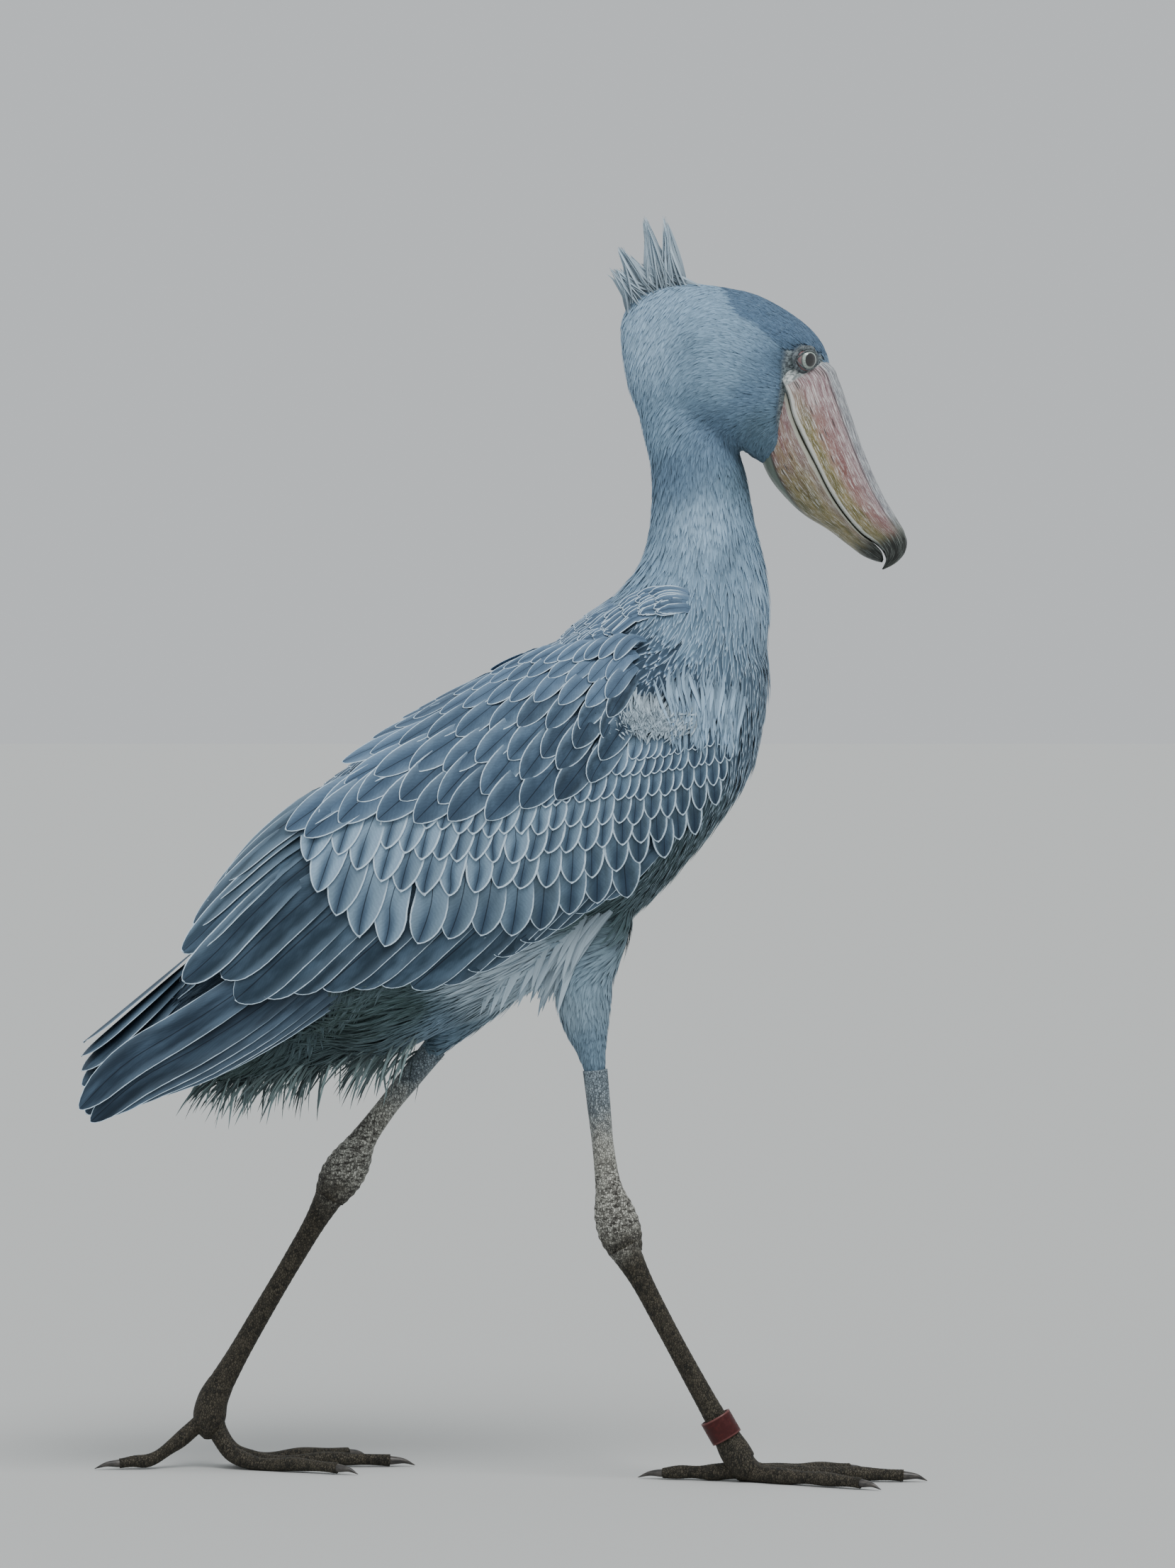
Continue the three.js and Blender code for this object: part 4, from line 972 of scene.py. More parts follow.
# the lower breast and the belly: the plumage's grey darkened by painted shade, with a painted green
# reflection in the belly's olive
LOW_BREAST_PAINTED_SHADE = (0.1, 0.135, 0.135)
BELLY_GREY_PAINTED_SHADE = (0.07, 0.098, 0.09)
MANTLE = (0.14, 0.185, 0.24)
THIGH = (0.25, 0.305, 0.34)
KNEE = (0.19, 0.24, 0.28)
DOWN = (0.45, 0.485, 0.505)
# the vent: grey darkened by painted shade, with a painted green reflection
VENT_GREY_PAINTED_SHADE = (0.06, 0.08, 0.07)
# painted shadow: the dark gap between the tertials and the tail, painted on the rump's plumage
RUMP_PAINTED_SHADOW = (0.035, 0.05, 0.07)
BROW_GREY = (0.085, 0.12, 0.155)
WISP = (0.2, 0.23, 0.215)
# x, z, colour, how strong the dark centre and pale rim are
TINTS = [
    (262, 1010, CHEEK, 0.0), (200, 1040, POWDER, 0.0), (130, 1040, PALE, 0.0),
    (215, 1005, POWDER, 0.0), (245, 965, JAW_GREY, 0.0), (235, 925, JAW_GREY, 0.0),
    (235, 990, CHEEK, 0.0), (200, 960, CHEEK, 0.0), (150, 965, POWDER, 0.0),
    # (165, 934) is painted shade under the jaw, in the cheek's grey
    (165, 934, CHEEK, 0.0), (190, 885, PALE, 0.0), (232, 880, POWDER, 0.0),
    (140, 850, POWDER, 0.1), (250, 820, PALE, 0.2), (205, 845, POWDER, 0.2),
    (190, 795, POWDER, 0.5), (150, 765, MANTLE, 0.9), (150, 730, MANTLE, 0.9),
    (240, 760, BREAST, 0.8), (230, 700, BREAST, 0.9), (222, 655, LOW_BREAST_PAINTED_SHADE, 0.6),
    (60, 730, MANTLE, 1.0), (190, 600, BELLY_GREY_PAINTED_SHADE, 0.4), (100, 545, BELLY_GREY_PAINTED_SHADE, 0.1),
    (80, 470, THIGH, 0.0), (88, 400, KNEE, 0.0), (-40, 420, KNEE, 0.0),
    (45, 478, DOWN, 0.0), (0, 488, DOWN, 0.0), (-60, 440, BELLY_GREY_PAINTED_SHADE, 0.0),
    (-100, 430, VENT_GREY_PAINTED_SHADE, 0.0), (-220, 400, VENT_GREY_PAINTED_SHADE, 0.0), (-100, 620, MANTLE, 1.0),
    (-190, 560, RUMP_PAINTED_SHADOW, 0.2), (-230, 520, RUMP_PAINTED_SHADOW, 0.0), (-290, 450, RUMP_PAINTED_SHADOW, 0.0),
]
TINT_PLACES = np.array([(x, z) for x, z, _, _ in TINTS])
TINT_VALUES = np.array([(*colour, rim) for _, _, colour, rim in TINTS])
# the lower edge of the slate cap, from the crest to the brow
CAP_EDGE = curve([
    [165, 1097], [185, 1094], [218, 1080], [223, 1068.5], [241, 1054], [253, 1043], [266, 1031],
    [300, 1022],
])


BLEND_REACH = 6  # millimetres within which a place's own value holds


def blended(places, values, x, z, power=3.0):
    """Values given at places, blended by nearness at each x, z."""
    d = np.hypot(x[:, None] - places[:, 0], z[:, None] - places[:, 1]) + BLEND_REACH
    w = d**-power
    return (w @ values) / w.sum(axis=1, keepdims=True)


def lie_of(points):
    """The way the feathers run at points in millimetres, before they are laid on the skin."""
    x, _, z = points.T
    c, e = to_head(x, z)
    back_of_head = stack(-cos(HEAD_TILT), 0, sin(HEAD_TILT))
    down = np.array([0, 0, -1.0])
    rear = np.array([-cos(BODY_TILT), 0, -sin(BODY_TILT)])
    level = np.array([-1.0, 0, -0.12])
    head = smoothstep(935, 985, z)[:, None]
    nape = smoothstep(60, 165, c)[:, None]
    cheek = smoothstep(40, -40, e)[:, None]
    on_head = back_of_head * (1 - nape) + (down + [-0.35, 0, 0]) * nape + down * 0.75 * cheek
    on_neck = np.tile(down + [-0.08, 0, 0], (len(x), 1))
    a, b = to_body(x, z)
    belly = smoothstep(20, 110, a)[:, None] * smoothstep(0, -60, b)[:, None]
    mantle = smoothstep(830, 760, z)[:, None] * smoothstep(0, 60, b)[:, None]
    on_body = (down + [-0.25, 0, 0]) * (1 - belly) + level * belly
    on_body = on_body * (1 - mantle) + rear * mantle
    rump = smoothstep(380, 460, a)[:, None]
    on_body = on_body * (1 - rump) + rear * rump
    thigh = smoothstep(500, 450, z)[:, None] * smoothstep(20, 60, x)[:, None]
    on_body = on_body * (1 - thigh) + down * thigh
    trunk = smoothstep(850, 780, z)[:, None]
    low = on_neck * (1 - trunk) + on_body * trunk
    return on_head * head + low * (1 - head)


ROOT_TRIES = 10  # random roots tried for each one wanted
ROOT_CELL = 0.0065
ROOT_GAP = 0.6  # least gap between roots as a share of their spacing


def scattered_roots():
    """Evenly spread roots on the skin, as close as the plumage needs at each place."""
    spacing = blended(PLUMES[:, :2], PLUMES[:, 2:], *(face_centre[:, (0, 2)] / MM).T)[:, 3] * MM
    want = face_area / spacing**2
    tries = rng.random(face_count) < want * ROOT_TRIES % 1
    copies = (want * ROOT_TRIES).astype(int) + tries
    face = np.repeat(np.arange(face_count), copies)
    rng.shuffle(face)
    first = loop_vertex[face_start[face]]
    pick = rng.integers(1, 3, len(face))
    pick = np.minimum(pick, face_total[face] - 2)
    second = loop_vertex[face_start[face] + pick]
    third = loop_vertex[face_start[face] + pick + 1]
    co = vertex_place
    r1, r2 = np.sqrt(rng.random(len(face)))[:, None], rng.random(len(face))[:, None]
    points = co[first] * (1 - r1) + co[second] * r1 * (1 - r2) + co[third] * r1 * r2
    gap = spacing[face] * ROOT_GAP
    keys = np.floor(points / ROOT_CELL).astype(int)
    grid = {}
    kept = []
    near = [(i, j, k) for i in (-1, 0, 1) for j in (-1, 0, 1) for k in (-1, 0, 1)]
    for i, (key, p, g) in enumerate(zip(keys.tolist(), points.tolist(), gap.tolist())):
        clear = not any(
            (p[0] - q[0]) ** 2 + (p[1] - q[1]) ** 2 + (p[2] - q[2]) ** 2 < g * g
            for dx, dy, dz in near
            for q in grid.get((key[0] + dx, key[1] + dy, key[2] + dz), ())
        )
        if clear:
            grid.setdefault(tuple(key), []).append(p)
            kept.append(i)
    return points[kept], face[kept]


def tint_of(points, normals):
    """Colour and rim strength by place, with the cap, painted shade in the nape's hollow and on
    downward-facing parts, a darker strand down the neck, and the shoulder tuft.
    """
    x, _, z = points.T
    values = blended(TINT_PLACES, TINT_VALUES, x, z, 3.5)
    colour, rim = values[:, :3], values[:, 3]

    def toward(target, share):
        return colour + (np.array(target) - colour) * share[:, None]

    cap = smoothstep(-1.5, 2.5, z - CAP_EDGE(x)) * smoothstep(168, 200, x)
    colour = toward(SLATE, 0.85 * cap)
    mask = np.exp(-(((x - 268) / 16) ** 2) - ((z - 1022) / 14) ** 2)
    colour = toward(BROW_GREY, 0.7 * mask)
    # painted shade in the nape's hollow; the strand is a darker streak down the lower neck
    hollow = np.exp(-(((x - 185) / 20) ** 2) - ((z - 1040) / 22) ** 2)
    strand = np.exp(-(((x - 212 - 0.4 * (z - 855)) / 8) ** 2) - ((z - 855) / 34) ** 2)
    colour = colour * (1 - 0.2 * hollow - 0.28 * strand)[:, None]
    # painted shade: parts that face downward are darkened
    under = np.clip(-normals[:, 2], 0, 1) * (z > 560)
    colour = colour * (1 - 0.15 * under)[:, None]
    tuft = smoothstep(1.5, 0.6, np.hypot((x - 141) / 26, (z - 699) / 14))
    return toward(DOWN, tuft), rim * (1 - tuft)


def tint_skin():
    """The skin takes the coat's tints and the bare face, one value a vertex."""
    points = vertex_place / MM
    mark_points(skin_mesh, "Tint", tint_of(points, vertex_normal)[0])
    mark_points(skin_mesh, "Bare", bare_face(points))


ROWS = 4
PLUME_SHAPE = (0.7, 1.0, 0.95, 0.66)  # width at each row as a share of the widest
PLUME_KEEL = 0.22  # height of the raised middle as a share of the half width
PATCH = 0.003  # size of a plume's patch on the skin's unwrap
# metres: how deep a plume is rooted, how far it clears the skin at least and its tip at most
ROOT_DEPTH, LEAST_LIFT, MOST_LIFT = 0.0007, 0.0005, 0.011
FACE_LOW = 0.905  # metres above which roots ahead of the head's plumage are left out


def small_plumage():
    """The coat of small plumes, each a leaf that follows the skin from its root."""
    tint_skin()
    roots, face = scattered_roots()
    keep = (bare_face(roots / MM) < 0.5) & (wing_cover(roots / MM) < 0.5)
    keep &= ~((roots[:, 2] > FACE_LOW) & (to_head(*(roots[:, (0, 2)] / MM).T)[0] < -6))
    roots, face = roots[keep], face[keep]
    n = len(roots)
    sizes = blended(PLUMES[:, :2], PLUMES[:, 2:], *(roots[:, (0, 2)] / MM).T)
    length = sizes[:, 0] * MM * rng.uniform(0.75, 1.2, n)
    half = sizes[:, 1] * MM * rng.uniform(0.8, 1.2, n)
    stand = sizes[:, 2] * rng.uniform(0.5, 1.5, n)
    loft_of = np.minimum(0.11 * half * 4, 0.0012) * rng.random(n)
    normal = face_soft_normal[face]
    place = roots.copy()
    centre = [roots - normal * ROOT_DEPTH]
    normals = [normal]
    heading = lie_of(roots / MM)
    heading /= np.linalg.norm(heading, axis=1, keepdims=True)
    heading += rng.normal(0, 0.09, heading.shape)
    for k in range(ROWS):
        heading -= normal * np.sum(heading * normal, axis=1, keepdims=True)
        heading /= np.linalg.norm(heading, axis=1, keepdims=True) + 1e-9
        place, normal = nearest(place + heading * (length / ROWS)[:, None])
        share = (k + 1) / ROWS
        lift = LEAST_LIFT + loft_of + length * stand * share**1.2
        centre.append(place + normal * np.minimum(lift, MOST_LIFT)[:, None])
        normals.append(normal)
    colour, rim = tint_of(roots / MM, face_soft_normal[face])
    colour *= rng.uniform(0.92, 1.08, (n, 1))
    lot = rng.random(n)
    per = 3 * ROWS + 1
    points = np.empty((n, per, 3))
    uv = np.empty((n, per, 2))
    for k in range(ROWS):
        way = centre[k + 1] - centre[k]
        side = np.cross(way, normals[k])
        side /= np.linalg.norm(side, axis=1, keepdims=True) + 1e-9
        wide = (half * PLUME_SHAPE[k])[:, None]
        ridge = normals[k] * (half * PLUME_KEEL)[:, None]
        for i, shift in enumerate((-side * wide, ridge, side * wide)):
            points[:, 3 * k + i] = centre[k] + shift
            uv[:, 3 * k + i] = (i / 2, k / ROWS)
    points[:, -1] = centre[-1]
    uv[:, -1] = (0.5, 1)
    bake = face_uv[face][:, None] + (uv - 0.5) * PATCH
    pattern = outward(points[0] - points[0].mean(axis=0), leaf_pattern(ROWS))
    on_edge = np.arange(per) % 3 != 1
    on_edge[-1] = True
    pieces = region_of(roots / MM)
    made = {}
    for name in sorted(set(pieces)):
        at = np.flatnonzero(pieces == name)
        faces = (pattern[None] + (np.arange(len(at)) * per)[:, None, None]).reshape(-1, 3)
        flat = lambda v: v[at].reshape(-1, v.shape[-1])
        spread = lambda v: np.repeat(v[at], per, axis=0)
        made[name] = write_mesh(name + "_plumage", flat(points), faces, flat(uv), flat(bake),
                                spread(colour), spread(rim), spread(lot),
                                np.tile(on_edge, len(at)), PLUME)
    return made


def region_of(points):
    """The piece of plumage that a root belongs to, with a right and a left half of each."""
    x, y, z = points.T
    _, b = to_body(x, z)
    region = np.full(len(x), "belly", dtype=object)
    region[(z > 560) & (b < 40)] = "breast"
    region[b >= 40] = "mantle"
    region[z > 800] = "neck"
    region[z > 952 + (x - 180) * -0.21] = "head"
    region[(z < 505) & (np.abs(np.abs(y) - 46) < 36) & (x > -75) & (b < -92)] = "thigh"
    return region + np.where(y < 0, "_right", "_left")


def wing_cover(points):
    """One where the wing's own feathers cover the skin well inside their edge."""
    x, _, z = points.T
    a, b = to_body(x, z)
    q = angle_at(a, b)
    low = np.interp(a, [-30, 60, 160, 260, 340, 430], [-20, -34, -30, -24, -10, 14])
    high = np.interp(a, [-30, 0, 60, 160, 300, 430], [5, 24, 42, 56, 62, 50])
    inside = (np.degrees(q) > low) & (np.degrees(q) < high) & (a > -8) & (a < 425)
    inside &= ~((x > 95) & (z > 678))
    inside |= (b > BACK(a) - 26) & (a > 0) & (a < 430)
    return inside.astype(float)


# Large feathers: closed vanes laid on the outside of the folded wing

VANE_SHAPE = {
    "covert": curve([
        [0, 0.5], [0.25, 0.84], [0.5, 1], [0.68, 0.97], [0.82, 0.78], [0.92, 0.49],
        [0.975, 0.22], [1, 0.02],
    ]),
    "flight": curve([
        [0, 0.5], [0.2, 0.8], [0.6, 1], [0.84, 0.94], [0.92, 0.76], [0.97, 0.46],
        [0.99, 0.25], [1, 0.02],
    ]),
    "lance": curve([[0, 0.4], [0.25, 0.85], [0.5, 1], [0.75, 0.72], [0.9, 0.38], [1, 0.03]]),
}


def vane_pattern(across, rows):
    """Faces of a thin closed vane: two grids with the same triangles, joined round the rim."""
    bm = bmesh.new()
    bmesh.ops.create_grid(bm, x_segments=across, y_segments=rows, size=1)
    bmesh.ops.triangulate(bm, faces=bm.faces[:])
    bm.verts.ensure_lookup_table()
    keys = [(round((v.co.x + 1) / 2 * across), round((v.co.y + 1) / 2 * rows)) for v in bm.verts]
    number = {k: k[1] * (across + 1) + k[0] for k in keys}
    front = [[number[keys[v.index]] for v in f.verts] for f in bm.faces]
    rim = [[number[keys[v.index]] for v in e.verts] for e in bm.edges if e.is_boundary]
    bm.free()
    n = (across + 1) * (rows + 1)
    edge_way = {(f[i], f[(i + 1) % 3]) for f in front for i in range(3)}
    faces = list(front) + [[i + n for i in reversed(f)] for f in front]
    for i, j in rim:
        if (i, j) not in edge_way:
            i, j = j, i
        faces += [[j, i, i + n], [j, i + n, j + n]]
    return np.array(faces), n


TIP_CROWDING = 1.7  # how much closer a vane's rows stand at its tip
TIP_ROUND = 0.8  # distance to the tip counted as this share of it, in the pale rim


class Vanes:
    """Collects feathers of one kind and writes them as one piece."""

    def __init__(self, name, across, rows, thick):
        self.name, self.across, self.rows, self.thick = name, across, rows, thick
        self.faces, self.count = vane_pattern(across, rows)
        i, j = np.arange(self.count) % (across + 1), np.arange(self.count) // (across + 1)
        self.on_edge = np.tile((i == 0) | (i == across) | (j == 0) | (j == rows), 2)
        self.items = []

    def add(self, path, half, shape, tint, rim, lean=0.0, cup=0.0012, skew=0.0):
        """One feather: path(v) gives its middle and normals, v from 0 at the root to 1 at the tip.

        lean lifts one edge and drops the other, cup bends both down, skew shifts the middle.
        """
        v = 1 - np.linspace(1, 0, self.rows + 1) ** TIP_CROWDING
        u = np.linspace(-1, 1, self.across + 1)
        line, up = path(v)
        way = np.gradient(line, axis=0)
        side = np.cross(up, way)
        side /= np.linalg.norm(side, axis=1, keepdims=True)
        wide = half * VANE_SHAPE[shape](v)
        uu = u[None, :, None]
        reach = (wide[:, None, None] * (uu + skew * (1 - uu**2) * 0.25))
        drop = cup * wide[:, None, None] ** 2 * uu**2
        middle = line[:, None] + side[:, None] * reach + up[:, None] * (lean * uu - drop)
        ridge = up[:, None] * (self.thick * (1.3 - np.abs(uu)))
        top, low = middle + ridge * 0.5, middle - ridge * 0.5
        points = np.concatenate([top.reshape(-1, 3), low.reshape(-1, 3)])
        fill = VANE_SHAPE[shape](v)[:, None]
        grid_u = 0.5 + 0.5 * np.clip(u[None] * (0.35 + 0.65 * fill), -1, 1)
        uv = np.stack(np.broadcast_arrays(grid_u, v[:, None]), axis=-1)
        uv = np.concatenate([uv.reshape(-1, 2)] * 2)
        length = np.linalg.norm(np.diff(line, axis=0), axis=1).sum()
        to_tip = TIP_ROUND * (1 - v[:, None]) * length
        edge = np.minimum((1 - np.abs(u[None])) * wide[:, None], to_tip)
        self.items.append((points, uv, np.array(tint), rim, rng.random(), np.tile(edge.ravel(), 2)))

    def write(self, mat):
        n = len(self.items)
        per = 2 * self.count
        points = np.concatenate([i[0] for i in self.items]) * MM
        uv = np.concatenate([i[1] for i in self.items])
        first = self.items[0][0]
        pattern = outward(first - first.mean(axis=0), self.faces)
        faces = (pattern[None] + (np.arange(n) * per)[:, None, None]).reshape(-1, 3)
        side = int(np.ceil(np.sqrt(n)))
        cell = np.array([(i % side, i // side) for i in range(n)])
        bake = (np.repeat(cell, per, axis=0) + 0.06 + 0.88 * uv) / side
        tint = np.repeat([i[2] for i in self.items], per, axis=0)
        rim = np.repeat([i[3] for i in self.items], per)
        lot = np.repeat([i[4] for i in self.items], per)
        on_edge = np.tile(self.on_edge, n)
        obj = write_mesh(self.name, points, faces, uv, bake, tint, rim, lot, on_edge, mat)
        mark_points(obj.data, "Edge", np.concatenate([i[5] for i in self.items]))
        return obj


def line_point(corners, shares):
    """Points along a broken line of corners at shares of its length."""
    k = np.array(corners, float)
    run = np.concatenate([[0], np.cumsum(np.linalg.norm(np.diff(k, axis=0), axis=1))])
    at = np.asarray(shares) * run[-1]
    return np.stack([np.interp(at, run, k[:, 0]), np.interp(at, run, k[:, 1])], axis=-1)


def lay_feather(vanes, side, tip, heading, length, half, lift, shape, tint, rim, lean, **extra):
    """A feather on the folded wing: tip at [a, b], heading in degrees below the horizon."""
    way = radians(heading)
    tip_point = from_body(tip[0], tip[1], 0)
    root = to_body(tip_point[0] + length * cos(way), tip_point[2] + length * sin(way))
    q = angle_at(np.array([root[0], tip[0]]), np.array([root[1], tip[1]]))

    def path(v):
        a = root[0] + (tip[0] - root[0]) * v
        angle = q[0] + (q[1] - q[0]) * v
        height = lift[0] + (lift[1] - lift[0]) * smoothstep(0, 0.35, v) + (lift[2] - lift[1]) * v
        return outer(a, angle, height, side)

    vanes.add(path, half, shape, tint, rim, lean * -side, **extra)


def world_line(*points):
    return [to_body(x, z) for x, z in points]


INK = (0.03, 0.043, 0.058)
DEEP = (0.042, 0.062, 0.08)
STEEL = (0.075, 0.1, 0.118)
SHADE = (0.115, 0.15, 0.18)
ASH = (0.17, 0.215, 0.255)
FROST = (0.32, 0.39, 0.45)
SCAPULAR_DARK = (0.05, 0.07, 0.09)
SCAPULAR_PALE = (0.155, 0.205, 0.265)
# tips as [a, b] along the body; count; heading, length, half width and pale rim's width from the
# line's start to its end; lift at the root, just past it and at the tip; stack, the added lift of
# each next feather
WING = [
    dict(kind="flight", tips=[(520, 20), (560, 24), (600, 30), (630, 36), (643, 42), (641, 56)],
         count=9, heading=(26, 37), length=(260, 300), half=(13, 16), lift=(-14, -9, -7),
         tint=(INK, INK), rim=(0.5, 0.6), lean=1.2, stack=0.9),
    dict(kind="flight",
         tips=[(150, -94), (195, -86), (238, -77), (273, -71), (300, -67), (327, -56),
               (348, -35), (366, -20), (391, -4), (424, 18), (469, 44), (462, 66)],
         count=15, heading=(46, 41), length=(110, 175), half=(14, 20), lift=(-6, -1.5, 1.2),
         tint=(DEEP, DEEP), rim=(0.5, 0.7), lean=2.2),
    dict(kind="flight", tips=[(492, 84), (476, 104), (448, 118), (404, 128)],
         count=5, heading=(44, 38), length=(170, 150), half=(18, 21), lift=(-5, 1.0, 2.6),
         tint=(DEEP, STEEL), rim=(1.0, 1.1), lean=-1.6, stack=0.6),
    dict(kind="covert",
         tips=world_line((118, 539), (96, 534), (44, 512), (29, 504), (-32, 500), (-75, 494),
                         (-111, 491), (-134, 510), (-158, 534), (-170, 566)),
         count=13, heading=(93, 66), length=(66, 92), half=(14, 18), lift=(-4, 1.2, 4.0),
         tint=(STEEL, FROST), rim=(1.2, 1.4), lean=1.9),
    dict(kind="covert",
         tips=world_line((150, 572), (126, 567), (103, 560), (58, 547), (2, 544), (-38, 539),
                         (-80, 540), (-113, 555), (-140, 572)),
         count=15, heading=(94, 68), length=(52, 70), half=(10.5, 15), lift=(-3, 1.8, 4.8),
         tint=(STEEL, FROST), rim=(1.5, 1.7), lean=1.7),
    dict(kind="covert",
         tips=world_line((178, 596), (150, 588), (110, 584), (60, 577), (5, 568), (-60, 570),
                         (-99, 579)),
         count=18, heading=(93, 70), length=(46, 60), half=(8.5, 13), lift=(-3, 2.2, 5.4),
         tint=(STEEL, FROST), rim=(1.4, 1.7), lean=1.6),
    dict(kind="covert",
         tips=world_line((196, 620), (165, 612), (120, 604), (73, 601), (26, 592), (-28, 592),
                         (-62, 600)),
         count=19, heading=(92, 70), length=(40, 54), half=(7.5, 11.5), lift=(-3, 2.6, 5.8),
         tint=(STEEL, FROST), rim=(1.3, 1.6), lean=1.5),
    dict(kind="covert",
         tips=world_line((204, 642), (170, 634), (130, 626), (84, 624), (44, 617)),
         count=16, heading=(92, 74), length=(34, 46), half=(7, 10), lift=(-3, 2.8, 6.0),
         tint=(SHADE, ASH), rim=(1.2, 1.4), lean=1.4),
    dict(kind="covert",
         tips=world_line((208, 660), (176, 654), (140, 647), (92, 645)),
         count=15, heading=(90, 76), length=(30, 38), half=(6.2, 8.5), lift=(-3, 3.0, 6.2),
         tint=(SHADE, ASH), rim=(1.1, 1.2), lean=1.3),
    dict(kind="covert",
         tips=world_line((208, 676), (182, 670), (150, 662), (122, 661)),
         count=13, heading=(88, 78), length=(24, 30), half=(5.4, 7), lift=(-3, 3.0, 6.2),
         tint=(SHADE, ASH), rim=(1.0, 1.1), lean=1.2),
    dict(kind="scapular",
         tips=world_line((85, 639), (47, 623), (13, 613), (-19, 604), (-51, 604), (-80, 603),
                         (-119, 605), (-143, 596), (-168, 587)),
         count=9, heading=(56, 36), length=(62, 104), half=(13, 19), lift=(-3, 6.2, 8.4),
         tint=(SCAPULAR_DARK, SCAPULAR_PALE), rim=(0.9, 1.0), lean=-1.5),
    dict(kind="scapular",
         tips=world_line((94, 660), (49, 650), (5, 634), (-51, 619), (-100, 622), (-140, 616),
                         (-186, 590)),
         count=9, heading=(58, 32), length=(60, 104), half=(12, 18), lift=(-3, 6.4, 8.7),
         tint=(SCAPULAR_DARK, SCAPULAR_PALE), rim=(0.9, 1.0), lean=-1.4),
    dict(kind="scapular",
         tips=world_line((99, 680), (69, 671), (34, 659), (-5, 660), (-45, 649), (-95, 645),
                         (-132, 632)),
         count=9, heading=(60, 27), length=(54, 96), half=(11, 17), lift=(-3, 6.4, 8.9),
         tint=(SCAPULAR_DARK, SCAPULAR_PALE), rim=(0.85, 1.0), lean=-1.3),
    dict(kind="scapular",
         tips=world_line((102, 697), (80, 688), (47, 686), (14, 688), (-21, 679), (-56, 676),
                         (-96, 664), (-136, 650)),
         count=10, heading=(58, 24), length=(48, 88), half=(9.5, 15), lift=(-3, 6.2, 9.0),
         tint=(SCAPULAR_DARK, SCAPULAR_PALE), rim=(0.8, 0.9), lean=-1.2),
    dict(kind="scapular",
         tips=world_line((102, 714), (81, 706), (47, 708), (13, 710), (-21, 701), (-70, 690),
                         (-108, 672)),
         count=11, heading=(52, 24), length=(44, 76), half=(8.5, 13), lift=(-3, 6.0, 9.0),
         tint=(MANTLE, MANTLE), rim=(0.75, 0.85), lean=-1.1),
    dict(kind="scapular",
         tips=world_line((102, 731), (75, 727), (34, 730), (-7, 722), (-48, 706), (-82, 690)),
         count=12, heading=(46, 24), length=(40, 64), half=(7.5, 11), lift=(-3, 5.4, 8.6),
         tint=(MANTLE, MANTLE), rim=(0.65, 0.8), lean=-1.0),
    dict(kind="scapular",
         tips=world_line((110, 748), (74, 745), (34, 744), (0, 732)),
         count=10, heading=(42, 26), length=(36, 48), half=(6.5, 9), lift=(-3, 5.4, 8.6),
         tint=(MANTLE, MANTLE), rim=(0.8, 0.9), lean=-0.9),
]


def folded_wing(side_name, side):
    """All the tracts of one wing, the long feathers first and the scapulars over them."""
    kinds = {
        "flight": Vanes(f"wing_{side_name}_flight", 6, 16, 0.55),
        "covert": Vanes(f"wing_{side_name}_coverts", 6, 12, 0.45),
        "scapular": Vanes(f"wing_{side_name}_scapulars", 6, 12, 0.45),
    }
    for tract in WING:
        flight = tract["kind"] == "flight"
        # how far the feathers stray, and the share of the tract's lean that they take
        loose, slope = (0.3, 0.65) if flight else (1.0, 0.5)
        shares = np.linspace(0, 1, tract["count"])
        for i, (s, tip) in enumerate(zip(shares, line_point(tract["tips"], shares))):
            ends = (tract[k] for k in ("heading", "length", "half", "rim"))
            heading, length, half, rim = (low + (high - low) * s for low, high in ends)
            tint = np.array(tract["tint"][0]) * (1 - s) + np.array(tract["tint"][1]) * s
            lay_feather(
                kinds[tract["kind"]], side, tip + rng.normal(0, loose, 2),
                heading + rng.normal(0, loose), length * rng.uniform(0.95, 1.06),
                half * rng.uniform(0.94, 1.06),
                np.array(tract["lift"]) + tract.get("stack", 0.0) * i + rng.normal(0, 0.1 * loose),
                "flight" if flight else "covert", tint, rim, slope * tract["lean"],
                skew=rng.normal(0, 0.2 * loose))
    flight = kinds["flight"].write(FLIGHT)
    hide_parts("wing_" + side_name)
    for obj in (flight, kinds["covert"].write(COVERT), kinds["scapular"].write(SCAPULAR)):
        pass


def make_shoulder_down():
    """The loose white tuft where the wing leaves the body, and pale strands in front of it."""
    vanes = Vanes("shoulder_down", 2, 6, 0.3)
    for side in (1, -1):
        for _ in range(420):
            s, depth = rng.normal(0, 1, 2) / 2.1
            tip = world_line((141 + 32 * s, 690 + 14 * depth - 3 * s))[0]
            lay_feather(
                vanes, side, np.array(tip), 84 - 22 * s + rng.normal(0, 28), rng.uniform(10, 24),
                rng.uniform(0.6, 1.5), (0.0, 3.5, 7.5 + 1.5 * rng.random()), "lance",
                np.array(DOWN) * rng.uniform(0.68, 1.05), 0.0, rng.normal(0, 0.3))
        for _ in range(170):
            s = rng.random()
            tip = world_line((158 + 58 * s, rng.uniform(664, 706) - 4 * s))[0]
            lay_feather(
                vanes, side, np.array(tip), 92 - 14 * s + rng.normal(0, 7), rng.uniform(26, 46),
                rng.uniform(0.8, 1.9), (1.0, 4.5, 7.0 + 1.5 * rng.random()), "lance",
                np.array(PALE) * rng.uniform(0.5, 1.15), 0.0, rng.normal(0, 0.3))
    vanes.write(PLUME)


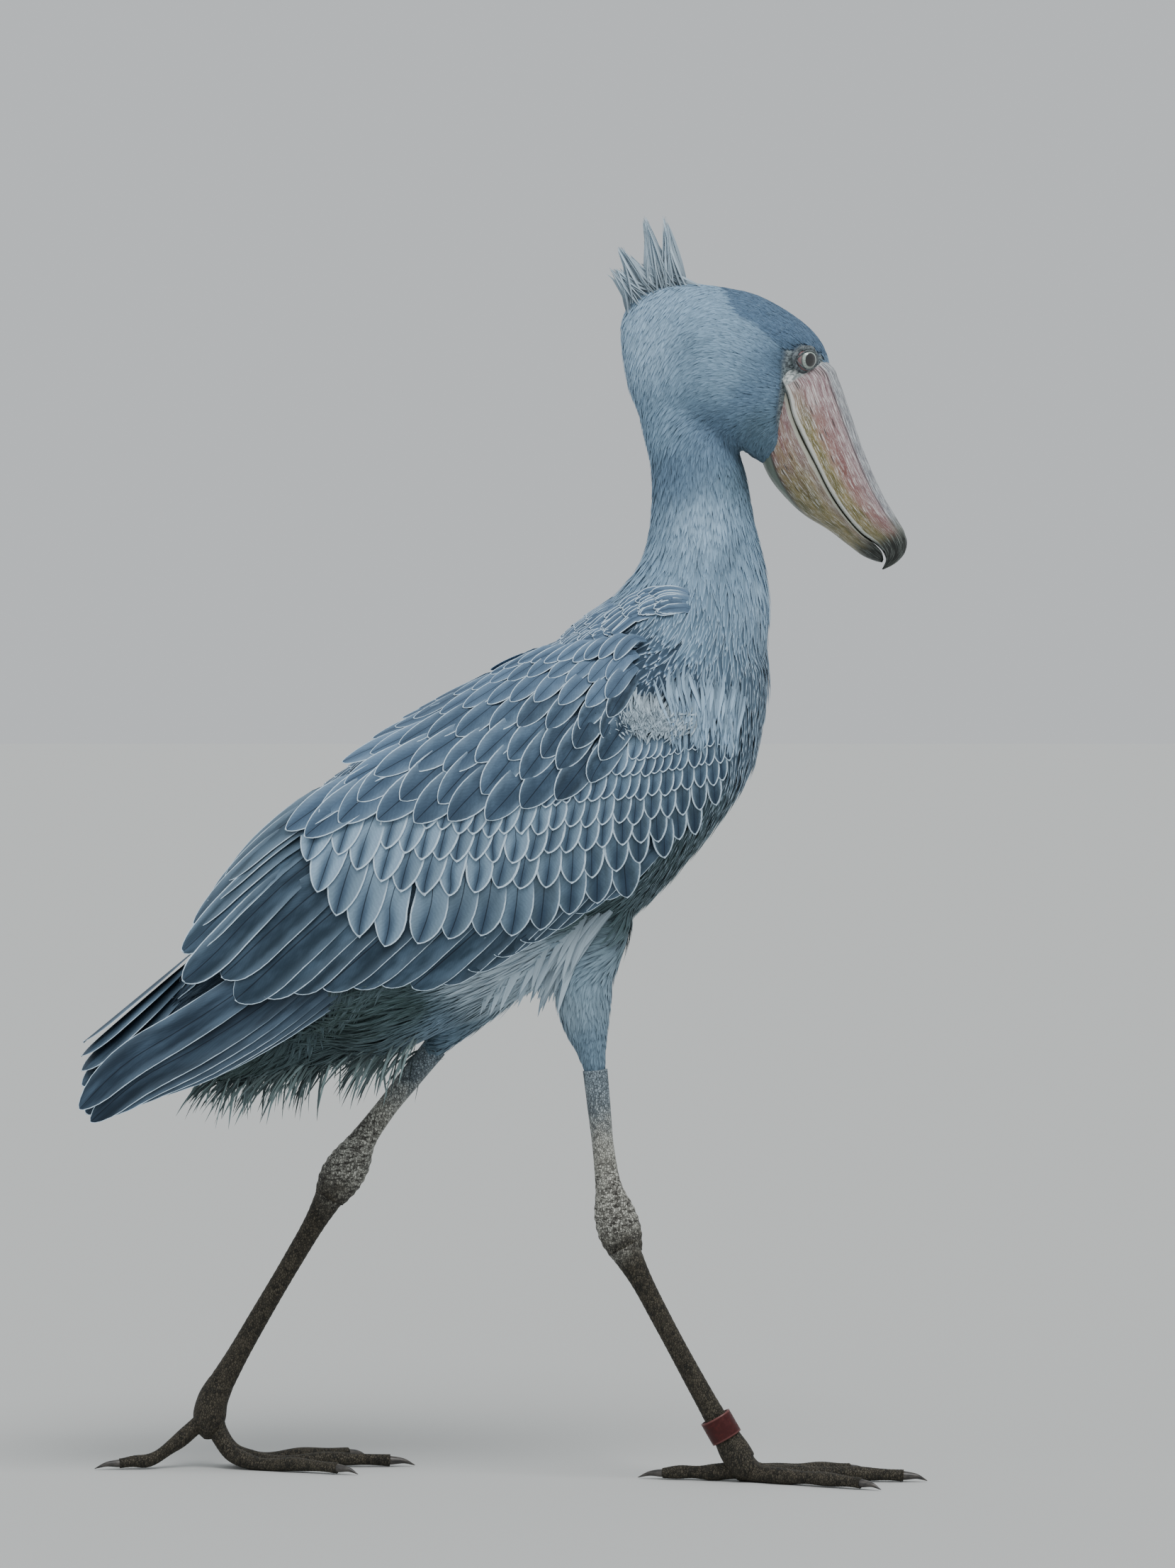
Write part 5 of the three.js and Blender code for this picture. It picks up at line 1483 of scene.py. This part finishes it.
def make_back_feathers():
    """Rows of mantle feathers that close the back between the two wings."""
    vanes = Vanes("back_feathers", 6, 10, 0.45)
    for row, a in enumerate(np.arange(-94, 452, 14.0)):
        wide, length, half = (np.interp(a, (-94, -24, 60, 260, 452), ys) for ys in (
            (94, 84, 66, 66, 36), (32, 36, 48, 76, 84), (5, 6.5, 10, 15, 16)))
        count = int(2 * wide / (half * 1.05))
        for place in (np.arange(count) + 0.5 * (row % 2)) / count * 2 - 1:
            y = place * wide + rng.normal(0, 0.8)
            if a < -45 and abs(y) < 48:
                continue
            lean = y * rng.normal(0.05, 0.03)

            start = a + rng.normal(0, 1.5)

            def path(v):
                at = start + length * v
                where, normal = nearest(from_body(at, BACK(at) + 26, y + lean * v) * MM)
                lift = -2 + 5 * smoothstep(0, 0.3, v) + 4.5 * v
                return where / MM + normal * lift[:, None], normal

            share = smoothstep(0, 420, a)
            tint = np.array(MANTLE) * (1 - share) + np.array(SCAPULAR_DARK) * share
            vanes.add(path, half, "covert", tint, 0.8,
                      lean=0.5 * np.sign(y), skew=rng.normal(0, 0.2))
    vanes.write(SCAPULAR)


def hang(vanes, root, way, reach, sag, side, half, tint, skew):
    """A limp plume that runs from its root along way and is drawn off by sag towards its tip."""
    normal = np.cross(way, np.cross([0, side, 0.25], way))
    normal /= np.linalg.norm(normal)

    def path(v):
        line = root + np.outer(v * reach, way) + np.outer(v**2, sag)
        return line, np.tile(normal, (len(v), 1))

    vanes.add(path, half, "lance", tint, 0.0, cup=0.02, skew=skew)


def make_flank_plumes():
    """Long soft pale plumes that hang back over the thighs from the flanks."""
    vanes = Vanes("flank_plumes", 2, 10, 0.4)
    for side in (1, -1):
        for _ in range(160):
            s, depth = rng.random(), rng.random()
            root = np.array([108 - 120 * s, side * (88 - 22 * depth), 524 - 24 * s - 8 * depth])
            lean = radians(232 - 14 * s + rng.normal(0, 7))
            reach = rng.uniform(52, 96) * (1 - 0.15 * s)
            way = np.array([cos(lean), -side * 0.16, sin(lean)])
            sag = np.array([0.12, -side * 0.06, -0.16]) * reach
            tint = np.array(DOWN) * rng.uniform(0.8, 1.15)
            hang(vanes, root, way, reach, sag, side, rng.uniform(2.4, 4.6), tint,
                 rng.normal(0, 0.3))
    vanes.write(PLUME)


def make_vent_plumes():
    """Thin wisps that hang from the belly behind the thighs and under the tail."""
    vanes = Vanes("vent_plumes", 2, 5, 0.3)
    count = 460
    x, y = rng.uniform(-265, -62, count), rng.uniform(-62, 62, count)
    low = np.stack([x, y, 500 + 0.46 * x - 80], axis=-1)
    roots, _ = nearest(low * MM)
    for root in roots / MM:
        lean = radians(216 + rng.normal(0, 20))
        reach = rng.uniform(20, 56)
        way = np.array([cos(lean), rng.normal(0, 0.12) + 0.002 * root[1], sin(lean)])
        sag = np.array([0.1, 0, -0.2]) * reach
        tint = np.array(WISP) * rng.uniform(0.25, 1.5)
        hang(vanes, root, way, reach, sag, np.sign(root[1]) + 0.01, rng.uniform(0.5, 1.3), tint,
             rng.normal(0, 0.3))
    vanes.write(PLUME)


def make_tail():
    """Six feathers a side, the middle pair on top, fanned and rolled down towards the outside."""
    vanes = Vanes("tail_feathers", 6, 16, 0.6)
    tips = [(603, 100), (612, 93), (620, 84), (628, 74), (636, 63), (640, 52)]
    for i in range(6):
        for side in (1, -1):
            s = i / 5
            roll = radians(6 + 54 * s)
            root = from_body(470, 100 - 17 * s, side * (3 + 21 * s))
            tip = from_body(tips[i][0], tips[i][1], side * (6 + 39 * s))
            down = from_body(0, -1, 0) - from_body(0, 0, 0)
            across = np.array([0, side, 0]) * cos(roll) + down * sin(roll)
            way = (tip - root) / np.linalg.norm(tip - root)
            out = np.cross(way, across)
            out /= np.linalg.norm(out)
            if out @ down > 0:
                out = -out

            def path(v):
                return root + np.outer(v, tip - root) - out * 1.7 * i, np.tile(out, (len(v), 1))

            vanes.add(path, 17.5, "flight", np.array(DEEP) * rng.uniform(0.9, 1.15), 0.9,
                      lean=-1.0 * side, cup=0.006)
    tail = vanes.write(FLIGHT)
    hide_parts("tail")


# Head: crest, bill, eyes, bare face

# clumps of the crest: where their roots spread from and to, the point their tips draw together at,
# how short the shortest are, how many, and how far the tips scatter
CREST = [
    dict(foot=((151, 1096), (176, 1096)), tip=(154.5, 1156.5), short=0.45, count=70, loose=1.3),
    dict(foot=((134, 1094), (164, 1098)), tip=(136.5, 1156.5), short=0.4, count=95, loose=1.8),
    dict(foot=((122, 1084), (150, 1097)), tip=(112.5, 1129), short=0.45, count=80, loose=2.4),
    dict(foot=((119, 1074), (140, 1095)), tip=(107, 1109), short=0.3, count=90, loose=4.5),
    dict(foot=((140, 1096), (190, 1093)), tip=(138, 1114), short=0.5, count=100, loose=6.0),
]

CREST_ROOT = 6  # how deep the crest feathers are rooted


def make_crest():
    """Pointed limp feathers in flame-like clumps that lean up and back from the crown."""
    vanes = Vanes("crest_feathers", 2, 8, 0.35)
    for clump in CREST:
        for _ in range(clump["count"]):
            s = rng.random()
            (x0, z0), (x1, z1) = clump["foot"]
            lane = rng.uniform(-1, 1)
            root = np.array([x0 + (x1 - x0) * s, 12 * lane, z0 + (z1 - z0) * s - 3 * lane**2])
            end = np.array([clump["tip"][0], 0, clump["tip"][1]])
            end = end + rng.normal(0, clump["loose"], 3) * (0.7, 1, 0.2)
            share = 1 - (1 - clump["short"]) * rng.random() ** 1.3
            tip = root + (end - root) * (share, 0.55 * share, share)
            reach = np.linalg.norm(tip - root)
            way = (tip - root) / reach
            bend = np.cross(way, [0, 1, 0]) * reach * (0.1 * (s - 0.5) + rng.normal(0, 0.03))
            normal = np.cross(way, [0, 1, 0]) * sin(lane) + np.array([0, -1, 0]) * cos(lane)
            normal /= np.linalg.norm(normal)

            def path(v):
                along = np.outer(v * reach - CREST_ROOT * (1 - v), way)
                line = root + along + np.outer(v * (1 - v) * 4, bend)
                return line, np.tile(normal, (len(v), 1))

            tint = np.array(DOWN) * rng.uniform(0.75, 1.15)
            vanes.add(path, rng.uniform(0.8, 2.0), "lance", tint, 0.0, cup=0.03)
    return vanes.write(PLUME)


# each row: the ridge and the mouth line in the bill frame, and the half width
UPPER_BILL = np.array([
    [-44, 38, -46, 6, 38.5], [-33, 47.5, -35, 4.5, 40], [-22, 51, -25, 3, 42],
    [-6, 48, -7, -4, 46], [19, 41, 17, -9, 49],
    [54, 31, 42, -13, 50], [83, 24.5, 73, -17, 47], [105, 21, 96, -17, 42],
    [127, 19.5, 119, -14, 33], [141, 18, 136, -8, 25], [150, 14.5, 143, -7, 18],
    [156.5, 7, 148, -8, 12], [159, -3, 152, -10, 8], [158.6, -11, 154.5, -14, 4.5],
    [157.3, -17.5, 156.3, -18, 1.2],
])
# each row: the mouth line and the keel, and the half width
LOWER_BILL = np.array([
    [-40, 3, -20, -40, 33], [-26, 0.5, -4, -46, 35], [-8, -6.2, 10, -51, 39.5],
    [10, -11, 24, -54, 44],
    [42, -15.5, 48, -53.5, 47], [73, -19.5, 76, -47.5, 43], [96, -19.5, 99, -37.5, 37],
    [119, -16.5, 121, -30.5, 28], [136, -10.8, 139, -24, 18], [146, -10.4, 149, -17, 9],
    [150, -12, 151.5, -14.5, 3],
])


def bill_piece(name, stations, steps, mat, upper):
    """Half of the bill: an arch from the mouth line to the ridge, hollowed a little beside it."""
    middle = (stations[:, :2] + stations[:, 2:4]) / 2
    keys = np.concatenate([[0], np.cumsum(np.linalg.norm(np.diff(middle, axis=0), axis=1))])
    fns = [curve(np.stack([keys, stations[:, k]], axis=1)) for k in range(5)]
    c, s = around(BILL_CORNERS)
    rings, heights = [], []
    for at in np.linspace(0, keys[-1], steps):
        edge_f, edge_u, peak_f, peak_u = fns[2](at), fns[3](at), fns[0](at), fns[1](at)
        if not upper:
            edge_f, edge_u, peak_f, peak_u = peak_f, peak_u, edge_f, edge_u
        half = fns[4](at)
        rise = np.where(s > 0, np.abs(s) ** (1.25 if upper else 1.1), 0)
        sag = np.where(s < 0, s * 0.05, 0)
        wide = np.where(s > 0, np.abs(c) ** 0.62, np.abs(c))
        groove = 1 - (0.05 * np.exp(-(((s - 0.86) / 0.04) ** 2)) if upper else 0)
        lip = 1 + 0.015 * np.exp(-((s / 0.1) ** 2))
        f = edge_f + (peak_f - edge_f) * (rise + sag) * groove
        u = edge_u + (peak_u - edge_u) * (rise + sag) * groove
        rings.append(from_bill(f, u, np.sign(c) * half * wide * lip))
        heights.append(np.clip(rise, 0, 1))
    bm = loft(rings)
    spread = bm.loops.layers.uv.new("Horn")
    bm.verts.index_update()
    total = len(rings)
    for face in bm.faces:
        for corner in face.loops:
            ring, k = divmod(corner.vert.index, BILL_CORNERS)
            h = heights[ring][k]
            corner[spread].uv = (h if upper else 1 - h, ring / (total - 1))
    return new_object(name, bm, mat)


def make_bill():
    upper = bill_piece("upper_bill", UPPER_BILL, 120, bill_finish(), True)
    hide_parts("bill_upper")
    lower = bill_piece("lower_bill", LOWER_BILL, 90, bill_finish(True), False)
    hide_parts("bill_lower")


IRIS = 0.76  # the iris's radius as a share of the ball's


def make_eyes():
    mat = eye_finish()
    for name, side in (("right", -1), ("left", 1)):
        bm = bmesh.new()
        bmesh.ops.create_uvsphere(bm, u_segments=72, v_segments=48, radius=EYE["radius"] * MM)
        centre = Vector(from_head(EYE["back"], EYE["up"], side * EYE["out"]) * MM)
        gaze = Vector(GAZE * (1, side, 1)).normalized()
        turn = Vector((0, 0, 1)).rotation_difference(gaze).to_matrix().to_4x4()
        bmesh.ops.transform(bm, matrix=Matrix.Translation(centre) @ turn, verts=bm.verts[:])
        ring = bm.verts.layers.float.new("Ring")
        place = bm.verts.layers.float_vector.new("RayPlace")
        level = gaze.cross(Vector((0, 0, 1))).normalized()
        up = level.cross(gaze)
        for v in bm.verts:
            out = (v.co - centre).normalized()
            h, k = out.dot(level), out.dot(up)
            tilt = Vector((h, k * 0.92)).length
            v[ring] = tilt / IRIS if out.dot(gaze) > 0 else 2.0
            ray = 1.4 / max(tilt, 0.02)
            v[place] = (h * ray, k * ray, tilt)
        ball = new_object("eyeball_" + name, bm, mat)
        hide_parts("eye_" + name)


def make_lids():
    """Soft rims round each eye and a heavier fold of skin outside them."""
    lid, fold = lid_finish(), face_finish()
    c, s = around(14)
    for name, side in (("right", -1), ("left", 1)):
        centre = from_head(EYE["back"], EYE["up"], side * EYE["out"])
        gaze = GAZE * (1, side, 1)
        gaze /= np.linalg.norm(gaze)
        level = np.cross(gaze, [0, 0, 1])
        level /= np.linalg.norm(level)
        level *= np.sign(level[0])
        up = np.array([0, 0, 1]) - gaze * gaze[2]
        for title, radius, thick, mat in (("eyelid", 9.2, 0.75, lid),
                                          ("eye_fold", 11.6, 2.0, fold)):
            rings = []
            for t in np.linspace(0, 2 * pi, 72, endpoint=False):
                h, k = cos(t), sin(t)
                corner = max(-h, 0) ** 6
                reach = radius * (1 + 0.16 * corner)
                flat = (0.88 if k > 0 else 0.96) - 0.1 * corner
                out = level * h * reach + up * k * reach * flat
                depth = np.sqrt(max(EYE["radius"] ** 2 - (out @ out), 3))
                spot = centre + out + gaze * (depth + 0.2)
                away = out / np.linalg.norm(out)
                bulk = thick * (1 + 0.3 * max(k, 0) + 0.1 * sin(7 * t))
                rings.append(spot + np.outer(c, away) * bulk * 1.2 + np.outer(s, gaze) * bulk)
            bm = loft(rings + [rings[0]], caps=False)
            bmesh.ops.remove_doubles(bm, verts=bm.verts[:], dist=1e-6)
            bmesh.ops.recalc_face_normals(bm, faces=bm.faces[:])
            new_object(f"{title}_{name}", bm, mat)


# Legs

def make_legs():
    """Bare shank, ankle, lower leg, foot joint and toes of both legs."""
    leg_skin = leg_finish("leg scales", 560)
    toe_skin = leg_finish("toe scales", 520, 2.0)

    def piece(title, rings, first, last):
        bm = loft(rings)
        bm.verts.index_update()
        down = bm.verts.layers.float.new("Down")
        for v in bm.verts:
            v[down] = first + (last - first) * (v.index // len(rings[0])) / (len(rings) - 1)
        return new_object(title, bm, leg_skin)

    claw_horn = claw_finish()
    for name, leg in LEGS.items():
        middle_y = leg["thigh_y"] + (leg["foot_y"] - leg["thigh_y"]) * 0.4
        rings = path_rings(leg["shank"], middle_y, 40, 16)
        cut = int(len(rings) * 0.52)
        for i, ring in enumerate(rings):
            t = i / len(rings)
            knob = 0.022 * sin(i * 1.3) * smoothstep(0.5, 0.7, t)
            rings[i] = ring.mean(axis=0) + (ring - ring.mean(axis=0)) * (1 + knob)
        upper = piece(f"bare_shank_{name}", rings[: cut + 1], 0.0, 0.52)
        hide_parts("shank_" + name)
        piece(f"ankle_{name}", rings[cut:], 0.52, 1.1)
        rings = path_rings(leg["tarsus"], leg["foot_y"], 36, 22)
        for i, ring in enumerate(rings):
            rings[i] = ring.mean(axis=0) + (ring - ring.mean(axis=0)) * (1 + 0.012 * sin(i * 1.7))
        tarsus = piece(f"lower_leg_{name}", rings, 0.98, 2.2)
        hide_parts("tarsus_" + name)
        ball = loft(path_rings(leg["ball"], leg["foot_y"], 32, 10))
        foot = new_object(f"foot_joint_{name}", ball, toe_skin)
        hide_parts("foot_" + name)
        for toe, (turn, length, claw, thick) in leg["toes"].items():
            make_toe(name, leg, toe, radians(turn), length, claw, thick, toe_skin, claw_horn)


def toe_line(leg, toe, turn, length, claw):
    """The middle of a toe and its claw, from the foot joint to the tip, and how long it is."""
    way = np.array([cos(turn), sin(turn), 0])
    start = np.array([leg["foot"][0], leg["foot_y"], leg["foot"][1]], float)
    drop = leg["foot"][1] - TOE_REST
    hind = toe == "hind"
    run = (34 if hind else 22) if leg["lifted"] else 16
    flat = lambda reach, z: np.array([*(start + way * reach)[:2], z])
    corners = [
        start,
        flat(run * 0.35, TOE_REST + drop * (0.8 if hind else 0.62)),
        flat(run, TOE_REST + drop * (0.36 if hind else 0.18)),
        flat(run * 1.6 + 6, TOE_REST),
        flat((run + length) * 0.6, TOE_REST),
        flat(length, TOE_REST - 1.6),
        flat(length + claw * 0.55, TOE_REST - 2.4),
        flat(length + claw, 1.2),
    ]
    steps = [np.linalg.norm(q - p) for p, q in zip(corners, corners[1:])]
    keys = np.concatenate([[0], np.cumsum(steps)])
    fns = [curve(np.stack([keys, [c[k] for c in corners]], axis=1)) for k in range(3)]
    return lambda at: np.array([f(at) for f in fns]), keys[-1]


def make_toe(leg_name, leg, toe, turn, length, claw, thick, skin_mat, claw_mat):
    line, whole = toe_line(leg, toe, turn, length, claw)
    end = whole - claw - (2 if toe != "hind" else 0)
    c, s = around(20)

    def rings(start, stop, steps, radius):
        made = []
        for at in np.linspace(start, stop, steps):
            way = line(min(at + 1, whole)) - line(at - 1)
            way /= np.linalg.norm(way)
            aside = np.array([-way[1], way[0], 0])
            aside /= np.linalg.norm(aside)
            up = np.cross(way, aside)
            r = radius(at)
            ring = line(at) + np.outer(c, aside) * r + np.outer(s, up) * r * 0.94
            ring[:, 2] = np.maximum(ring[:, 2], 0.0)
            made.append(ring)
        return made

    def toe_radius(at):
        far = at / whole
        joints = 0.07 * cos(far * 6 * pi + 1)
        scutes = 0.022 * (1 - abs(((at / 3.4) % 1) * 2 - 1))
        return thick * (1 - 0.4 * far + joints + scutes + 0.5 * exp(-at / 15))

    def claw_radius(at):
        share = max((at - end) / (whole - end), 0)
        return thick * 0.5 * max(0.07, 1 - 0.93 * share**1.3)

    scaly = loft(rings(0, end, 110, toe_radius))
    piece = new_object(f"scaly_toe_{toe}_{leg_name}", scaly, skin_mat)
    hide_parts(f"toe_{toe}_{leg_name}")
    horn = loft(rings(end - 2, whole, 24, claw_radius))
    nail = new_object(f"nail_{toe}_{leg_name}", horn, claw_mat)
    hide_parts(f"claw_{toe}_{leg_name}")


RING_TALL = 11  # half the leg ring's height
RING_INSIDE, RING_OUTSIDE = 13.4, 14.7


def make_band():
    """The leg ring, spun round the lower end of the right leg."""
    leg = LEGS["right"]
    (x1, z1), (x0, z0) = leg["tarsus"][4][:2], (212, 39)
    axis = Vector((x1 - x0, 0, z1 - z0)).normalized()
    bm = bmesh.new()
    outside = [(RING_OUTSIDE, h) for h in (-RING_TALL, -9.6, -8.8, 0, 8.8, 9.6, RING_TALL)]
    profile = [(RING_INSIDE, RING_TALL), (RING_INSIDE, -RING_TALL)] + outside
    verts = [bm.verts.new((r * MM, 0, h * MM)) for r, h in profile]
    edges = [bm.edges.new((verts[i - 1], verts[i])) for i in range(len(verts))]
    bmesh.ops.spin(bm, geom=verts + edges, axis=(0, 0, 1), cent=(0, 0, 0), steps=64,
                   angle=2 * pi, use_merge=True)
    bmesh.ops.recalc_face_normals(bm, faces=bm.faces[:])
    mark = bm.verts.layers.float.new("Edge")
    for v in bm.verts:
        v[mark] = abs(v.co.z) / (RING_TALL * MM)
    turn = Vector((0, 0, 1)).rotation_difference(axis).to_matrix().to_4x4()
    place = Matrix.Translation(Vector(((x0 + x1) / 2, leg["foot_y"], (z0 + z1) / 2)) * MM)
    bmesh.ops.transform(bm, matrix=place @ turn, verts=bm.verts[:])
    band = new_object("leg_ring", bm, band_finish())
    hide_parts("leg_band")


coat = small_plumage()
for side_name, side in (("right", -1), ("left", 1)):
    folded_wing(side_name, side)
make_tail()
crest = make_crest()
make_back_feathers()
make_shoulder_down()
make_flank_plumes()
make_vent_plumes()
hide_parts("head")
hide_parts("neck")
for side_name in LEGS:
    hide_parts("thigh_" + side_name)
make_bill()
make_eyes()
make_lids()
make_legs()
make_band()


# Camera, floor and light

def look_at(obj, target):
    obj.rotation_euler = (Vector(target) - obj.location).to_track_quat("-Z", "Y").to_euler()


camera = linked("camera", bpy.data.cameras.new("camera"))
camera.data.lens = 175
camera.data.sensor_fit = "VERTICAL"
camera.data.sensor_height = 36
camera.location = (0.084, -7.0, 0.83)
look_at(camera, (0.084, 0, 0.636))
bpy.context.scene.camera = camera

bm = bmesh.new()
bmesh.ops.create_grid(bm, x_segments=1, y_segments=1, size=30)
floor = linked("floor", mesh_of("floor", bm))
ground, paint = material("plain floor")
paint.finish(Base_Color=(0.5, 0.51, 0.5), Roughness=0.9)
floor.data.materials.append(ground)

world = bpy.data.worlds.new("soft sky")
bpy.context.scene.world = world
world.use_nodes = True
sky = world.node_tree.nodes["Background"].inputs
sky["Color"].default_value = (0.93, 0.97, 1, 1)
sky["Strength"].default_value = 0.66

LIGHTS = [
    ("high sun", (0.9, -1.6, 3.2), 2.1, 0.6),
    ("fill", (-1.5, -2.5, 2.0), 0.4, 1.2),
]
for name, source, power, spread in LIGHTS:
    sun = linked(name, bpy.data.lights.new(name, "SUN"))
    sun.data.energy = power
    sun.data.angle = spread
    sun.location = source
    look_at(sun, (0, 0, 0))
